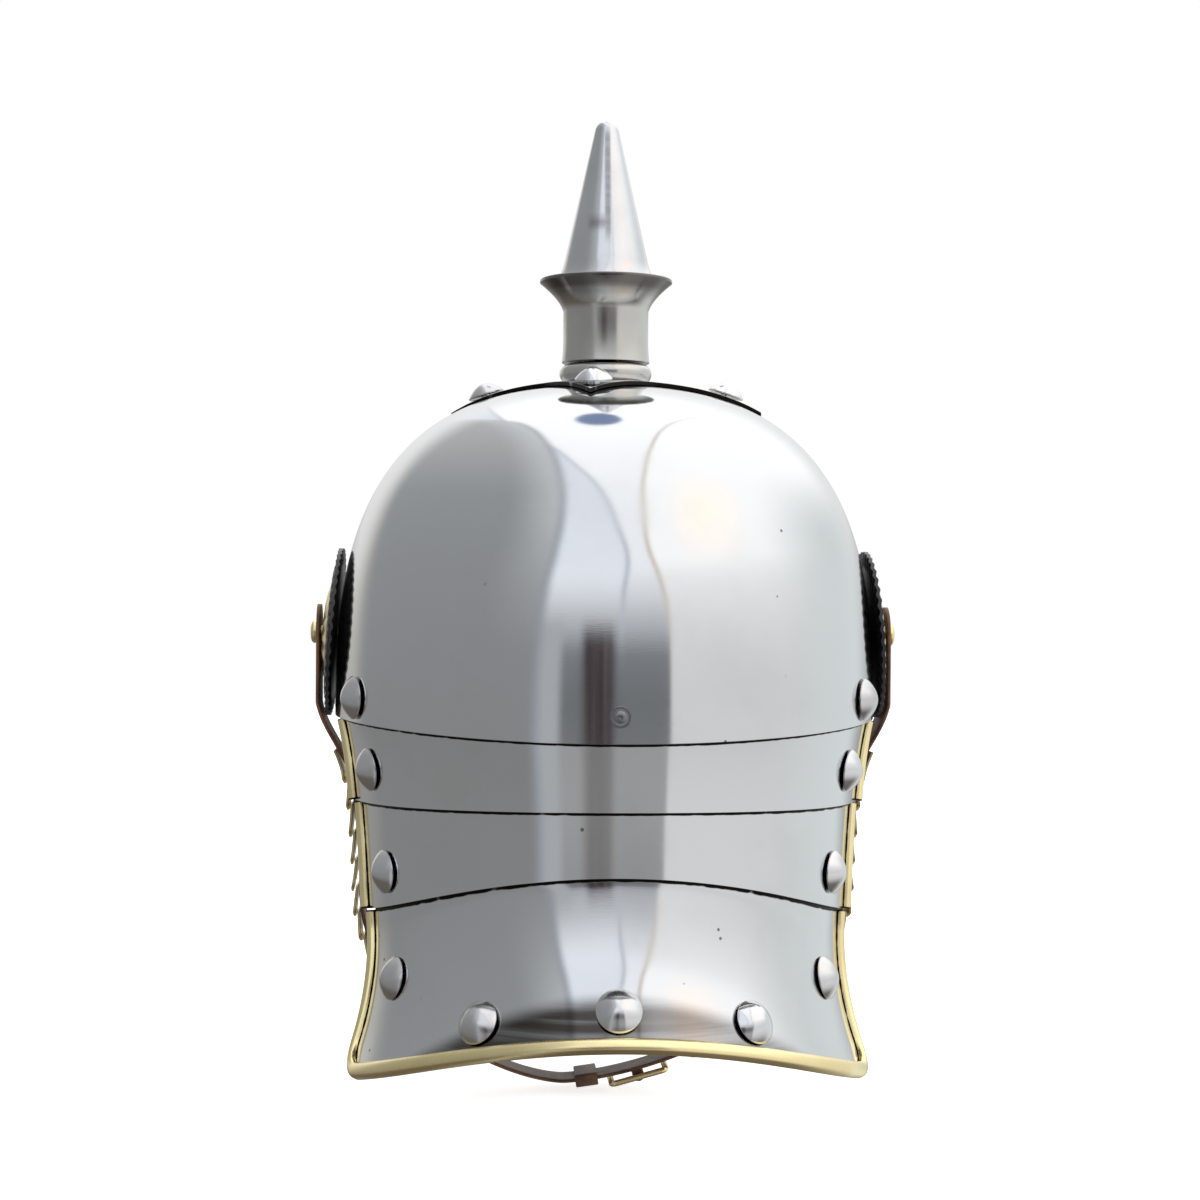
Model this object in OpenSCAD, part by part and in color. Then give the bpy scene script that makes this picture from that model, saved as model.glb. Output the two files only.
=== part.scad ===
// Steel helmet with a spike and a neck guard of three overlapping plates.
// The origin lies on the spike's axis, level with the lower edge of the bowl at the ears.
// +Z is up, the visor faces -Y, the neck guard lies at +Y and the wearer's left is +X.

/* [Bowl] */
// Outer width of the bowl at the ears
skull_w = 192; // [176:1:204]
// Outer length from the spike's axis to the back of the bowl
skull_back = 114; // [106:1:122]
// Outer length from the spike's axis to the forehead
skull_front = 111; // [104:1:118]
// Height of the crown above the ears
skull_h = 117; // [108:1:126]
// Squareness of the dome's profile, where 2 is an ellipse
dome_n = 2.75; // [2.2:0.05:3]
// Thickness of the bowl and the neck plates
plate_t = 1.2; // [0.9:0.1:1.6]
// How far the bowl's edge droops at the back
skull_droop = 4; // [2:0.5:6]

/* [Neck guard] */
// Air between one plate and the next
plate_gap = 0.8; // [0.7:0.1:1.2]
// How much the neck draws in at the sides
neck_draw_side = 5; // [3:0.5:8]
// How much the neck draws in at the back
neck_draw_back = 6; // [3:0.5:9]
// Angle from the ear line to the plates' side edges
edge_angle = 11.5; // [9:0.5:14]
// How far the side edges lean back, in degrees per millimetre of drop
edge_lean = 0.1; // [0.06:0.01:0.14]
// Height of the plates' lower edges at the middle of the back
low_mid = [-4, -26, -47, -98];
// How much lower the same edges are at their sides
low_side = [-4, 2.5, 18, 23];
// Height of the hidden upper edges at the middle of the back
top_mid = [0, 14, -14, -35];
// How much higher the hidden upper edges are at their sides
top_side = [0, 5, 6, -8];
// How far the hidden upper part of a plate is cut back at each side
tuck_inset = 5; // [4.5:0.5:7]
// Height of the flared part above the rim
flare_h = 50; // [36:1:54]
// Outward flare at the middle of the back
flare_back = 20; // [12:1:26]
// Outward flare at the sides
flare_side = 12; // [5:0.5:14]
// Radius of the lower corners
corner_r = 11; // [8:0.5:14]

/* [Brass edging] */
// Width of the edging on the plate
bead_w = 4; // [3.6:0.1:4.4]
// Height of the edging over the outer face
bead_out = 2.4; // [1.6:0.1:2.6]
// Height of the edging over the inner face
bead_in = 0.5; // [0.4:0.1:0.6]
// How far the edging reaches past the plate's edge
bead_wrap = 1; // [0.6:0.1:1.4]
// Play between edging and plate
bead_play = 0.1; // [0.05:0.01:0.12]

/* [Domed rivets] */
// Diameter of the domed heads
dome_d = 14.6; // [12:0.2:16]
// Height of the domed heads
dome_h = 4.6; // [3.6:0.2:5.6]
// Shadow gap under the domed heads
dome_gap = 0.5; // [0.4:0.1:0.8]
// Diameter of the shanks
shank_d = 4; // [3.4:0.2:5]
// Radial play of a shank in the plate that moves on it
pivot_play = 0.4; // [0.35:0.05:0.6]
// Radial play of a shank in a fixed hole
rivet_play = 0.05; // [0.03:0.01:0.08]
// Diameter of the clinched ends inside
clinch_d = 8; // [7:0.5:9]
// Thickness of the clinched ends inside
clinch_t = 1; // [0.8:0.1:1.2]
// Axial play of the moving plates under the clinched ends
clinch_gap = 0.4; // [0.3:0.05:0.5]
// Angles from the ear line to the rivets on the bowl and the three plates
rivet_angle = [26, 27.5, 30.5, 34];
// Heights of the rivets on the bowl and the three plates
rivet_z = [7.5, -16.6, -50.8, -85.7];
// Angle between the rivets along the rim
rim_rivet_angle = 28; // [22:1:32]
// Height of the rim's rivets above the rim
rim_rivet_up = 10.5; // [10:0.5:13]

/* [Sliding rivet at the back] */
// Height of the rivet
slide_z = 4.4; // [3:0.2:6]
// Diameter of its flush head
slide_head_d = 7; // [6:0.5:8]
// Length of the slot that it slides in
slide_slot = 12; // [11:0.5:13]

/* [Base of the spike] */
// Reach of the cross plate's arms
cross_reach = 56; // [50:1:62]
// Distance from the axis to the notches between the arms
cross_notch = 28; // [25:1:32]
// Turn of the cross plate on the bowl
cross_turn = -8; // [-12:1:0]
// Thickness of the cross plate
cross_t = 1.4; // [1:0.1:2]
// Air between the cross plate and the bowl
cross_gap = 0.3; // [0.2:0.1:0.5]
// Distance from the axis to the domed studs
stud_r = 42.5; // [38:0.5:46]
// Diameter of the domed studs
stud_head_d = 13; // [11:0.2:14]
// Outer radius of the base ring
ring_r = 16.6; // [16:0.1:18]
// Height of the base ring
ring_h = 7; // [5:0.5:9]

/* [Spike] */
// Outer radius of the neck
neck_r = 15.3; // [14:0.1:16]
// Height of the straight part of the neck
neck_h = 18; // [14:1:24]
// Radius of the collar's rim
collar_r = 23.8; // [20:0.2:26]
// Height from the straight neck to the collar's rim
collar_h = 12; // [9:0.5:15]
// Thickness of the collar
collar_t = 1.2; // [1:0.1:1.6]
// Radius of the cone above its foot
cone_r = 15; // [13:0.2:16]
// Radius of the cone's foot
foot_r = 18.4; // [17:0.1:20]
// Height of the cone over the collar
cone_h = 59; // [48:1:66]
// Radius of the cone's rounded tip
tip_r = 4.4; // [3:0.1:5]
// Gap between the neck and the base ring
spike_gap = 0.4; // [0.3:0.1:0.6]
// Diameter of the threaded stud
stud_d = 8; // [6:0.5:10]
// Radial running play of the stud
stud_play = 0.08; // [0.06:0.01:0.1]
// Width across the flats of the stud's nut
nut_af = 13; // [12:0.5:15]
// Thickness of the stud's nut
nut_t = 6; // [5:0.5:7]
// Diameter of the washer under the crown
washer_d = 24; // [20:1:28]

/* [Visor] */
// Reach of the visor in front of the forehead
visor_reach = 32; // [26:1:34]
// Drop of the visor's edge
visor_drop = 14; // [10:1:16]
// Angle from the ear line to the visor's ends
visor_angle = 36; // [34:1:40]
// Height of the visor's flange on the forehead
visor_flange = 11; // [9:0.5:13]
// Diameter of the visor's rivets
visor_rivet_d = 7; // [6:0.5:8]
// Height of the visor's rivets over the flange
visor_rivet_h = 2.2; // [1.6:0.2:2.8]

/* [Side fittings] */
// Height of the side screws
post_z = 29; // [27:0.5:31]
// Diameter of the side screws
post_d = 5; // [4:0.5:6]
// Radial running play of the chin scales on the side screws
post_play = 0.08; // [0.06:0.01:0.1]
// Diameter of the cockades
cockade_d = 60; // [54:1:60]
// Thickness of the cockades' fluted sheet
cockade_t = 1.2; // [1:0.1:1.4]
// Number of flutes in a cockade
cockade_flutes = 44; // [36:2:48]
// Depth of the flutes
flute_depth = 0.6; // [0.4:0.1:0.8]
// Lean of the cockades, rings and rosettes, which lie along the bowl's side, in degrees
side_lean = 4.2; // [3.8:0.1:4.6]
// Outer diameter of the corded ring
cord_ring_d = 50; // [48:0.5:52]
// Width of the corded ring
cord_ring_w = 3.5; // [3:0.1:4]
// Thickness of the corded ring
cord_ring_t = 1.4; // [1.2:0.1:1.6]
// Air between the domed rosettes and the corded ring round them
rosette_play = 0.5; // [0.4:0.1:2]
// Thickness of the rosettes
rosette_t = 1; // [0.8:0.1:1.2]
// Rise of the rosettes from rim to centre
rosette_rise = 2.6; // [2:0.1:3]
// Diameter of the side screws' knobs
knob_d = 8; // [7:0.5:10]
// Height of the side screws' knobs
knob_h = 2.2; // [1.8:0.1:2.6]
// Width of the square nuts inside
side_nut_w = 10; // [9:0.5:12]

/* [Chin strap] */
// Thickness of the leather
leather_t = 1.5; // [1.2:0.1:1.8]
// Half the width of the loop below the ears
loop_x = 86.3; // [84:0.1:88]
// Height at which the loop starts to round under the chin
loop_z = -62; // [-70:1:-56]
// Depth of the rounded part
loop_drop = 69; // [66:0.5:74]
// How far the lowest point lies to the wearer's left
loop_shift = 14; // [0:1:20]
// How soon the loop turns in under the chin on the left and on the right
loop_sag = [1.25, 1.3]; // [1:0.05:1.35]
// Width of the strap at the rosettes
strap_root_w = 20; // [16:1:22]
// Width of the strap under the chin
strap_w = 15; // [12:1:16]
// Number of brass scales on each side
scales = 13; // [10:1:15]
// Width of the first scale
scale_w = 26; // [22:1:28]
// Width of the last scale
scale_end_w = 17; // [16:1:20]
// Thickness of the scales
scale_t = 0.7; // [0.5:0.1:0.8]
// Rise of each scale over the next one
scale_rise = 1.6; // [1.5:0.1:1.9]
// Thickness of the buckle's wire
wire_d = 2.2; // [1.8:0.1:2.6]
// Length of the buckle
buckle_l = 20; // [18:1:24]

/* [Lining] */
// Distance from the bowl's outer face to the sweatband at the forehead and the ears
band_front = 2.8; // [2.6:0.1:3.4]
// The same distance at the back, behind the first neck plate
band_back = 5.4; // [5.2:0.1:6]
// Distance from the bowl's outer face to the tongues
tongue_inset = 7.8; // [7.4:0.2:9]
// Thickness of the sweatband
band_t = 1.8; // [1.4:0.1:2.2]
// Height of the sweatband
band_h = 22; // [18:1:22]
// Number of leather tongues
tongues = 12; // [8:1:14]
// Thickness of the tongues
tongue_t = 1.4; // [1:0.1:1.8]

/* [Hidden] */

steel = "#c3c8cc";
dark_steel = "#8b9197";
brass = "#c9a94f";
leather = "#5b3a22";
black = "#1d1c1e";

// Segments round the bowl, up the bowl, and across a neck plate
around = 48;
rise_rows = 13;
across = 22;
plate_step = plate_t + plate_gap;
neck_fade = 22;
back_fade = 30;
left = 1;
right = -1;

// Shape of the bowl and the neck
function clamp01(v) = max(0, min(1, v));
function smooth(v) = let (c = clamp01(v)) c * c * (3 - 2 * c);
function mix(a, b, v) = a + (b - a) * v;
function unit(v) = v / norm(v);
function flatten(l) = [for (row = l) each row];

// Share of the full section that the dome keeps at height z
function dome_share(z, h) = pow(1 - pow(clamp01(z / h), dome_n), 1 / dome_n);
function neck_half_w(z) = skull_w / 2 - neck_draw_side * (1 - exp(min(z, 0) / neck_fade));
function neck_back(z) = skull_back - neck_draw_back * (1 - exp(min(z, 0) / back_fade));

// Lower and upper edges of plate k, where plate 0 is the bowl
function side_share(phi) = pow(cos(phi) / 0.93, 2);
function low_edge(k, phi) =
    k > 0 ? low_mid[k] - low_side[k] * side_share(phi)
    : sin(phi) > 0 ? -skull_droop * pow(sin(phi), 2) : 0;
function top_edge(k, phi) = top_mid[k] + top_side[k] * side_share(phi);
function side_angle(z) = edge_angle - edge_lean * z;
function mm_to_deg(d) = d / (skull_back * cos(edge_angle + 6)) * 180 / PI;

// Point on the outer face of plate k, at an angle from the wearer's left and a height
function skin(k, phi, z) =
    let (
        d = -k * plate_step,
        share = dome_share(z, skull_h + d),
        a = ((k == 0 ? skull_w / 2 : neck_half_w(z)) + d) * share,
        b = ((sin(phi) < 0 ? skull_front : k == 0 ? skull_back : neck_back(z)) + d) * share,
        f = k == 3 ? pow(clamp01(1 - (z - low_edge(3, phi)) / flare_h), 2) : 0
    )
    [(a + flare_side * f) * cos(phi), (b + flare_back * f) * sin(phi), z];

// Outward normal of that face
function skin_normal(k, phi, z) =
    unit(cross(skin(k, phi + 0.2, z) - skin(k, phi - 0.2, z), skin(k, phi, z + 0.2) - skin(k, phi, z - 0.2)));

// Places a child on plate k with its Z axis along the outward normal
module on_skin(k, phi, z, out = 0) {
    n = skin_normal(k, phi, z);
    translate(skin(k, phi, z) + out * n)
        rotate([0, acos(n[2]), atan2(n[1], n[0])])
            children();
}

module both_sides() {
    for (s = [left, right]) scale([s, 1, 1]) children();
}

// Solid between two grids of points, rows from low to high and columns anticlockwise from above
module slab(outer, inner, closed = false) {
    rows = len(outer) - 1;
    cols = len(outer[0]);
    last = closed ? cols - 1 : cols - 2;
    total = cols * (rows + 1);
    function o(i, j) = j * cols + i % cols;
    function q(i, j) = total + o(i, j);
    polyhedron(concat(flatten(outer), flatten(inner)), concat(
        [for (j = [0:rows - 1]) for (i = [0:last]) each [
            [o(i, j), o(i, j + 1), o(i + 1, j + 1)], [o(i, j), o(i + 1, j + 1), o(i + 1, j)],
            [q(i, j), q(i + 1, j + 1), q(i, j + 1)], [q(i, j), q(i + 1, j), q(i + 1, j + 1)]]],
        [for (i = [0:last]) each [
            [o(i, 0), o(i + 1, 0), q(i + 1, 0)], [o(i, 0), q(i + 1, 0), q(i, 0)],
            [o(i, rows), q(i, rows), q(i + 1, rows)], [o(i, rows), q(i + 1, rows), o(i + 1, rows)]]],
        closed ? [] : [for (j = [0:rows - 1]) each [
            [o(0, j + 1), o(0, j), q(0, j)], [o(0, j + 1), q(0, j), q(0, j + 1)],
            [o(cols - 1, j), o(cols - 1, j + 1), q(cols - 1, j + 1)],
            [o(cols - 1, j), q(cols - 1, j + 1), q(cols - 1, j)]]]));
}

// Solid swept through closed rings of points, with flat ends
module sweep(rings) {
    n = len(rings[0]);
    m = len(rings) - 1;
    polyhedron(flatten(rings), concat(
        [for (j = [0:m - 1]) for (i = [0:n - 1]) each [
            [j * n + i, (j + 1) * n + i, (j + 1) * n + (i + 1) % n],
            [j * n + i, (j + 1) * n + (i + 1) % n, j * n + (i + 1) % n]]],
        [[for (i = [0:n - 1]) i]],
        [[for (i = [n - 1:-1:0]) m * n + i]]));
}

// Section of the folded edging: u runs from the plate's edge into the plate, v outwards from its outer face
edging_section = [
    [bead_w, bead_play], [bead_w - 0.5, bead_out * 0.7], [bead_w * 0.5, bead_out], [0.2, bead_out * 0.9],
    [-bead_wrap * 0.8, bead_out * 0.5], [-bead_wrap, -plate_t / 2], [-bead_wrap / 2, -plate_t - bead_in],
    [bead_w * 0.9, -plate_t - bead_in], [bead_w * 0.9, -plate_t - bead_play],
    [-bead_play, -plate_t - bead_play], [-bead_play, bead_play]];

// Edging along a path of [point on the plate's edge, normal, point further in, normal there]
module edging(path) {
    sweep([for (p = path) [for (s = edging_section)
        let (v = s[0] / bead_w) mix(p[0], p[2], v) + s[1] * unit(mix(p[1], p[3], v))]]);
}

// Domed rivet with its head over the outer face and a clinched end inside a stack of sheet
module domed_rivet(head_d, head_h, stack) {
    rotate_extrude($fn = 40) polygon(concat(
        [[0, -stack - clinch_t], [clinch_d / 2 - 0.4, -stack - clinch_t],
         [clinch_d / 2, -stack - clinch_t * 0.6], [clinch_d / 2, -stack],
         [shank_d / 2, -stack], [shank_d / 2, dome_gap], [head_d / 2 - 0.6, dome_gap]],
        [for (a = [0:15:90]) [head_d / 2 * cos(a), dome_gap + 0.5 + (head_h - 0.5) * sin(a)]]));
}

module shank_hole(play) {
    translate([0, 0, -12]) cylinder(r = shank_d / 2 + play, h = 24, $fn = 32);
}

// Bowl
bowl_angles = [for (i = [0:around - 1]) 360 * i / around];
function bowl_z(phi, j) = j == 0 ? low_edge(0, phi) : skull_h * pow(sin(90 * j / rise_rows), 2 / dome_n);
function bowl_normal(phi, z) =
    let (
        p = skin(0, phi, max(z, 0.01)),
        b = sin(phi) < 0 ? skull_front : skull_back,
        share = dome_share(z, skull_h),
        g = pow(max(share, 0.05), dome_n - 2),
        rise = pow(max(z, 0) / skull_h, dome_n - 1) / skull_h
    )
    unit([g * p[0] / pow(skull_w / 2, 2), g * p[1] / pow(b, 2), rise]);
function bowl_rows(off) = [for (j = [0:rise_rows - 1])
    [for (phi = bowl_angles) let (z = bowl_z(phi, j)) skin(0, phi, z) + off * bowl_normal(phi, z)]];

// Closed dome between two offsets from the bowl's outer face
module dome_shell(off_out, off_in) {
    n = around;
    m = rise_rows;
    rows = concat(bowl_rows(off_out), bowl_rows(off_in));
    tops = [[0, 0, skull_h + off_out], [0, 0, skull_h + off_in]];
    total = n * m;
    function o(i, j) = j * n + i % n;
    function q(i, j) = total + o(i, j);
    polyhedron(concat(flatten(rows), tops), concat(
        [for (j = [0:m - 2]) for (i = [0:n - 1]) each [
            [o(i, j), o(i, j + 1), o(i + 1, j + 1)], [o(i, j), o(i + 1, j + 1), o(i + 1, j)],
            [q(i, j), q(i + 1, j + 1), q(i, j + 1)], [q(i, j), q(i + 1, j), q(i + 1, j + 1)]]],
        [for (i = [0:n - 1]) each [
            [o(i, m - 1), 2 * total, o(i + 1, m - 1)], [q(i, m - 1), q(i + 1, m - 1), 2 * total + 1],
            [o(i, 0), o(i + 1, 0), q(i + 1, 0)], [o(i, 0), q(i + 1, 0), q(i, 0)]]]));
}

visor_rivet_angles = [270 - 44, 270 - 22, 270, 270 + 22, 270 + 44];

module skull() {
    color(steel) difference() {
        dome_shell(0, -plate_t);
        both_sides() on_skin(0, rivet_angle[0], rivet_z[0]) shank_hole(rivet_play);
        on_skin(0, 90, slide_z) shank_hole(rivet_play);
        on_skin(0, 90, slide_z, -0.6) cylinder(d = slide_head_d + 2 * rivet_play, h = 4, $fn = 40);
        for (phi = visor_rivet_angles) on_skin(0, phi, visor_rivet_z) small_hole();
        translate([0, 0, post_z]) rotate([0, 90, 0])
            cylinder(r = post_d / 2 + rivet_play, h = skull_w + 10, center = true, $fn = 40);
        spike_bore();
        cross_studs_at() shank_hole(rivet_play);
    }
}

module small_hole() {
    translate([0, 0, -8]) cylinder(r = visor_shank_d / 2 + rivet_play, h = 16, $fn = 24);
}

module spike_bore() {
    translate([0, 0, skull_h - 20]) cylinder(r = stud_d / 2 + stud_play, h = 60, $fn = 48);
}

// Neck plates
function plate_shoulder(k, phi) = low_edge(k - 1, phi) - 1.2;
corner_steps = [0, 22.5, 45, 67.5];

// Rows of a plate from its lower edge up: [height at phi, side inset in mm]
function plate_row(k, j, phi) =
    let (
        low = low_edge(k, phi),
        sh = plate_shoulder(k, phi),
        up = (j - low_rows(k)) / (body_rows(k) - 1 - low_rows(k))
    )
    k == 3 && j < 4 ? [low + corner_r * (1 - cos(corner_steps[j])), corner_r * (1 - sin(corner_steps[j]))]
    : j < body_rows(k) ? [mix(k == 3 ? low + corner_r : low, sh, up), 0]
    : [mix(sh + 0.4, top_edge(k, phi), (j - body_rows(k)) / 2), tuck_inset];
function low_rows(k) = k == 3 ? 4 : 0;
function body_rows(k) = k == 3 ? 9 : 4;
function plate_rows(k) = body_rows(k) + 3;
function row_side(k, j) =
    let (row = plate_row(k, j, edge_angle + 6)) side_angle(row[0]) + mm_to_deg(row[1]);
function plate_phi(k, j, i) = let (s = row_side(k, j)) mix(s, 180 - s, i / across);
function plate_point(k, j, i) =
    let (phi = plate_phi(k, j, i), z = plate_row(k, j, phi)[0]) [skin(k, phi, z), skin_normal(k, phi, z)];

module lame(k) {
    grid = [for (j = [0:plate_rows(k) - 1]) [for (i = [0:across]) plate_point(k, j, i)]];
    slab([for (row = grid) [for (p = row) p[0]]], [for (row = grid) [for (p = row) p[0] - plate_t * p[1]]]);
}

module lame_1() {
    color(steel) difference() {
        lame(1);
        both_sides() on_skin(0, rivet_angle[0], rivet_z[0]) shank_hole(pivot_play);
        both_sides() on_skin(1, rivet_angle[1], rivet_z[1]) shank_hole(rivet_play);
        for (dz = [-slide_slot / 2 + shank_d / 2, slide_slot / 2 - shank_d / 2])
            on_skin(0, 90, slide_z + dz) shank_hole(pivot_play);
        translate([-shank_d / 2 - pivot_play, skull_back - 20, slide_z - slide_slot / 2 + shank_d / 2])
            cube([shank_d + 2 * pivot_play, 30, slide_slot - shank_d]);
    }
}

module lame_2() {
    color(steel) difference() {
        lame(2);
        both_sides() on_skin(1, rivet_angle[1], rivet_z[1]) shank_hole(pivot_play);
        both_sides() on_skin(2, rivet_angle[2], rivet_z[2]) shank_hole(rivet_play);
    }
}

rim_rivet_angles = [90 - rim_rivet_angle, 90, 90 + rim_rivet_angle];
function rim_rivet_z(phi) = low_edge(3, phi) + rim_rivet_up;

module lame_3() {
    color(steel) difference() {
        lame(3);
        both_sides() on_skin(2, rivet_angle[2], rivet_z[2]) shank_hole(pivot_play);
        both_sides() on_skin(3, rivet_angle[3], rivet_z[3]) shank_hole(rivet_play);
        for (phi = rim_rivet_angles) on_skin(3, phi, rim_rivet_z(phi)) shank_hole(rivet_play);
    }
}

// Point of plate k nearest to a point close to it
function on_plate(k, p) =
    let (
        d = -k * plate_step,
        f = k == 3 ? pow(clamp01(1 - (p[2] - low_edge(3, 90)) / flare_h), 2) : 0,
        a = neck_half_w(p[2]) + d + flare_side * f,
        b = neck_back(p[2]) + d + flare_back * f,
        phi = atan2(p[1] / b, p[0] / a)
    )
    [skin(k, phi, p[2]), skin_normal(k, phi, p[2])];

// Turns a path along plate k's edge into an edging path, with the plate on its left side
function edging_path(k, path) =
    let (last = len(path) - 1)
    [for (i = [0:last]) let (
            t = unit(path[min(i + 1, last)][0] - path[max(i - 1, 0)][0]),
            u = unit(cross(path[i][1], t)),
            q = on_plate(k, path[i][0] + bead_w * u))
        [path[i][0], path[i][1], q[0], q[1]]];

module side_edging(k) {
    both_sides() edging([for (j = [body_rows(k) - 1:-1:0]) let (
            p = plate_point(k, j, 0),
            r = plate_point(k, j, 1),
            v = bead_w / norm(r[0] - p[0]))
        [p[0], p[1], mix(p[0], r[0], v), mix(p[1], r[1], v)]]);
}

module lame_1_edging() { color(brass) side_edging(1); }
module lame_2_edging() { color(brass) side_edging(2); }
module lame_3_edging() {
    color(brass) edging(edging_path(3, concat(
        [for (j = [body_rows(3) - 1:-1:0]) plate_point(3, j, 0)],
        [for (i = [1:across - 1]) plate_point(3, 0, i)],
        [for (j = [0:body_rows(3) - 1]) plate_point(3, j, across)])));
}

pivot_stack = plate_t + plate_step + clinch_gap;
module pivot_rivets(k) {
    both_sides() on_skin(k, rivet_angle[k], rivet_z[k]) domed_rivet(dome_d, dome_h, pivot_stack);
}
module skull_pivot_rivets() { color(steel) pivot_rivets(0); }
module lame_1_pivot_rivets() { color(steel) pivot_rivets(1); }
module lame_2_pivot_rivets() { color(steel) pivot_rivets(2); }
module lame_3_rivets() {
    color(steel) {
        both_sides() on_skin(3, rivet_angle[3], rivet_z[3]) domed_rivet(dome_d, dome_h, plate_t + 0.2);
        for (phi = rim_rivet_angles) on_skin(3, phi, rim_rivet_z(phi), 0.3)
            domed_rivet(dome_d, dome_h, plate_t + 0.6);
    }
}

slide_stack = pivot_stack + 0.2;
module sliding_rivet() {
    color(dark_steel) on_skin(0, 90, slide_z) {
        translate([0, 0, -0.6]) cylinder(d = slide_head_d, h = 0.7, $fn = 40);
        translate([0, 0, -slide_stack - clinch_t]) {
            cylinder(d = shank_d, h = slide_stack + clinch_t - 0.5, $fn = 32);
            cylinder(d = clinch_d, h = clinch_t, $fn = 32);
        }
    }
}

// Cross plate, base ring and studs
function cross_outline() = [for (i = [0:7])
    let (r = i % 2 == 0 ? cross_reach : cross_notch, a = 45 * i + 90 + cross_turn) r * [cos(a), sin(a)]];
cross_top = skull_h + cross_gap + cross_t;

module cross_studs_at() {
    for (i = [0:3]) let (a = 90 * i + 90 + cross_turn, x = stud_r * cos(a), y = stud_r * sin(a),
        b = y < 0 ? skull_front : skull_back,
        share = norm([x / (skull_w / 2), y / b]),
        z = skull_h * pow(1 - pow(share, dome_n), 1 / dome_n),
        g = pow(share, dome_n - 2),
        n = unit([g * x / pow(skull_w / 2, 2), g * y / pow(b, 2), pow(z / skull_h, dome_n - 1) / skull_h]))
        translate([x, y, z]) rotate([0, acos(n[2]), atan2(n[1], n[0])]) children();
}

module cross_plate() {
    color(steel) difference() {
        intersection() {
            dome_shell(cross_gap + cross_t, cross_gap);
            translate([0, 0, skull_h - 40]) linear_extrude(60) polygon(cross_outline());
        }
        spike_bore();
        cross_studs_at() shank_hole(rivet_play);
    }
}

module cross_plate_studs() {
    color(steel) cross_studs_at() translate([0, 0, cross_gap + cross_t + 0.15])
        domed_rivet(stud_head_d, dome_h, cross_gap + cross_t + plate_t + 0.6);
}

ring_z = cross_top + 0.1;
neck_z = ring_z + ring_h + spike_gap;

module base_ring() {
    color(steel) difference() {
        translate([0, 0, ring_z]) rotate_extrude($fn = 72) polygon(concat(
            [[0, 0]],
            [for (a = [-80:20:80]) [ring_r - ring_h / 2 * (1 - cos(a)), ring_h / 2 * (1 + sin(a))]],
            [[0, ring_h]]));
        spike_bore();
    }
}

// Spike: a trumpet-shaped neck that carries a hollow cone, on a threaded stud
rim_z = neck_h + collar_h;
module spike_neck() {
    color(steel) translate([0, 0, neck_z]) rotate_extrude($fn = 72) difference() {
        polygon(concat([[0, 0], [neck_r + 0.5, 0], [neck_r + 0.5, 3], [neck_r, 7], [neck_r, neck_h]],
            [for (a = [75:-15:0]) [mix(collar_r, neck_r, sin(a)), neck_h + (collar_h - collar_t) * cos(a)]],
            [[collar_r, rim_z], [foot_r, rim_z - 1.6], [0, rim_z - 1.6]]));
        polygon([[0, -1], [stud_d / 2, -1], [stud_d / 2, rim_z], [0, rim_z]]);
    }
}

cone_z = neck_z + rim_z - 1.6 + 0.05;
module spike_cone() {
    color(steel) translate([0, 0, cone_z]) rotate_extrude($fn = 72) polygon(concat(
        [[0, 0], [foot_r - 0.4, 0], [foot_r - 0.4, 1],
         [mix(cone_r, foot_r, 0.45), 2.2], [mix(cone_r, foot_r, 0.12), 4.4], [cone_r, 8]],
        [for (a = [12:13:90]) [tip_r * cos(a), cone_h - tip_r * (1 - sin(a))]]));
}

washer_t = 1.5;
nut_seat = skull_h - plate_t - 0.6 - washer_t;
module spike_stud() {
    color(dark_steel) translate([0, 0, nut_seat - nut_t - 4])
        cylinder(d = stud_d, h = cone_z - 0.05 - (nut_seat - nut_t - 4), $fn = 48);
}

module crown_washer() {
    color(dark_steel) translate([0, 0, nut_seat]) difference() {
        cylinder(d = washer_d, h = washer_t, $fn = 48);
        translate([0, 0, -1]) cylinder(r = stud_d / 2 + stud_play, h = washer_t + 2, $fn = 48);
    }
}

module crown_nut() {
    color(dark_steel) translate([0, 0, nut_seat - nut_t - 0.1]) difference() {
        cylinder(d = nut_af / cos(30), h = nut_t, $fn = 6);
        translate([0, 0, -1]) cylinder(r = stud_d / 2 + stud_play, h = nut_t + 2, $fn = 48);
    }
}

// Visor: a flange on the forehead that turns out into a dropping brim
visor_cols = 24;
visor_rows = 6;
visor_shank_d = 3;
visor_rivet_z = visor_flange / 2 + 0.8;
visor_bend = 2.5;
function visor_phi(i) = mix(180 + visor_angle, 360 - visor_angle, i / visor_cols);
function visor_width(phi) =
    let (q = (phi - 270) / (90 - visor_angle)) visor_reach * pow(1 - 0.98 * pow(abs(q), 3), 0.9);
function visor_base(phi, out) =
    let (p = skin(0, phi, 0), n = unit([p[0] / pow(skull_w / 2, 2), p[1] / pow(skull_front, 2), 0]))
    [p[0], p[1], 0] + (out + 0.1) * n;
// Height of the upper face, where w is the share of the brim's width
function visor_z(phi, w) =
    visor_bend * (1 - min(1, w * 6)) - visor_drop * pow(w, 1.2) * visor_width(phi) / visor_reach;
function visor_top(phi, j) =
    let (n = visor_base(phi, 1) - visor_base(phi, 0), w = max(0, (j - 1) / (visor_rows - 1)))
    visor_base(phi, plate_t) + visor_width(phi) * w * n + [0, 0, j == 0 ? visor_flange : visor_z(phi, w)];
function visor_under(phi, j) =
    let (
        n = visor_base(phi, 1) - visor_base(phi, 0),
        slope = visor_top(phi, min(j + 1, visor_rows)) - visor_top(phi, max(j - 1, 1)),
        up = unit(cross([-sin(phi), cos(phi), 0], -slope))
    )
    visor_top(phi, j) - plate_t * (j < 1 ? n : j < 2 ? n + [0, 0, 1] : up);

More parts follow.
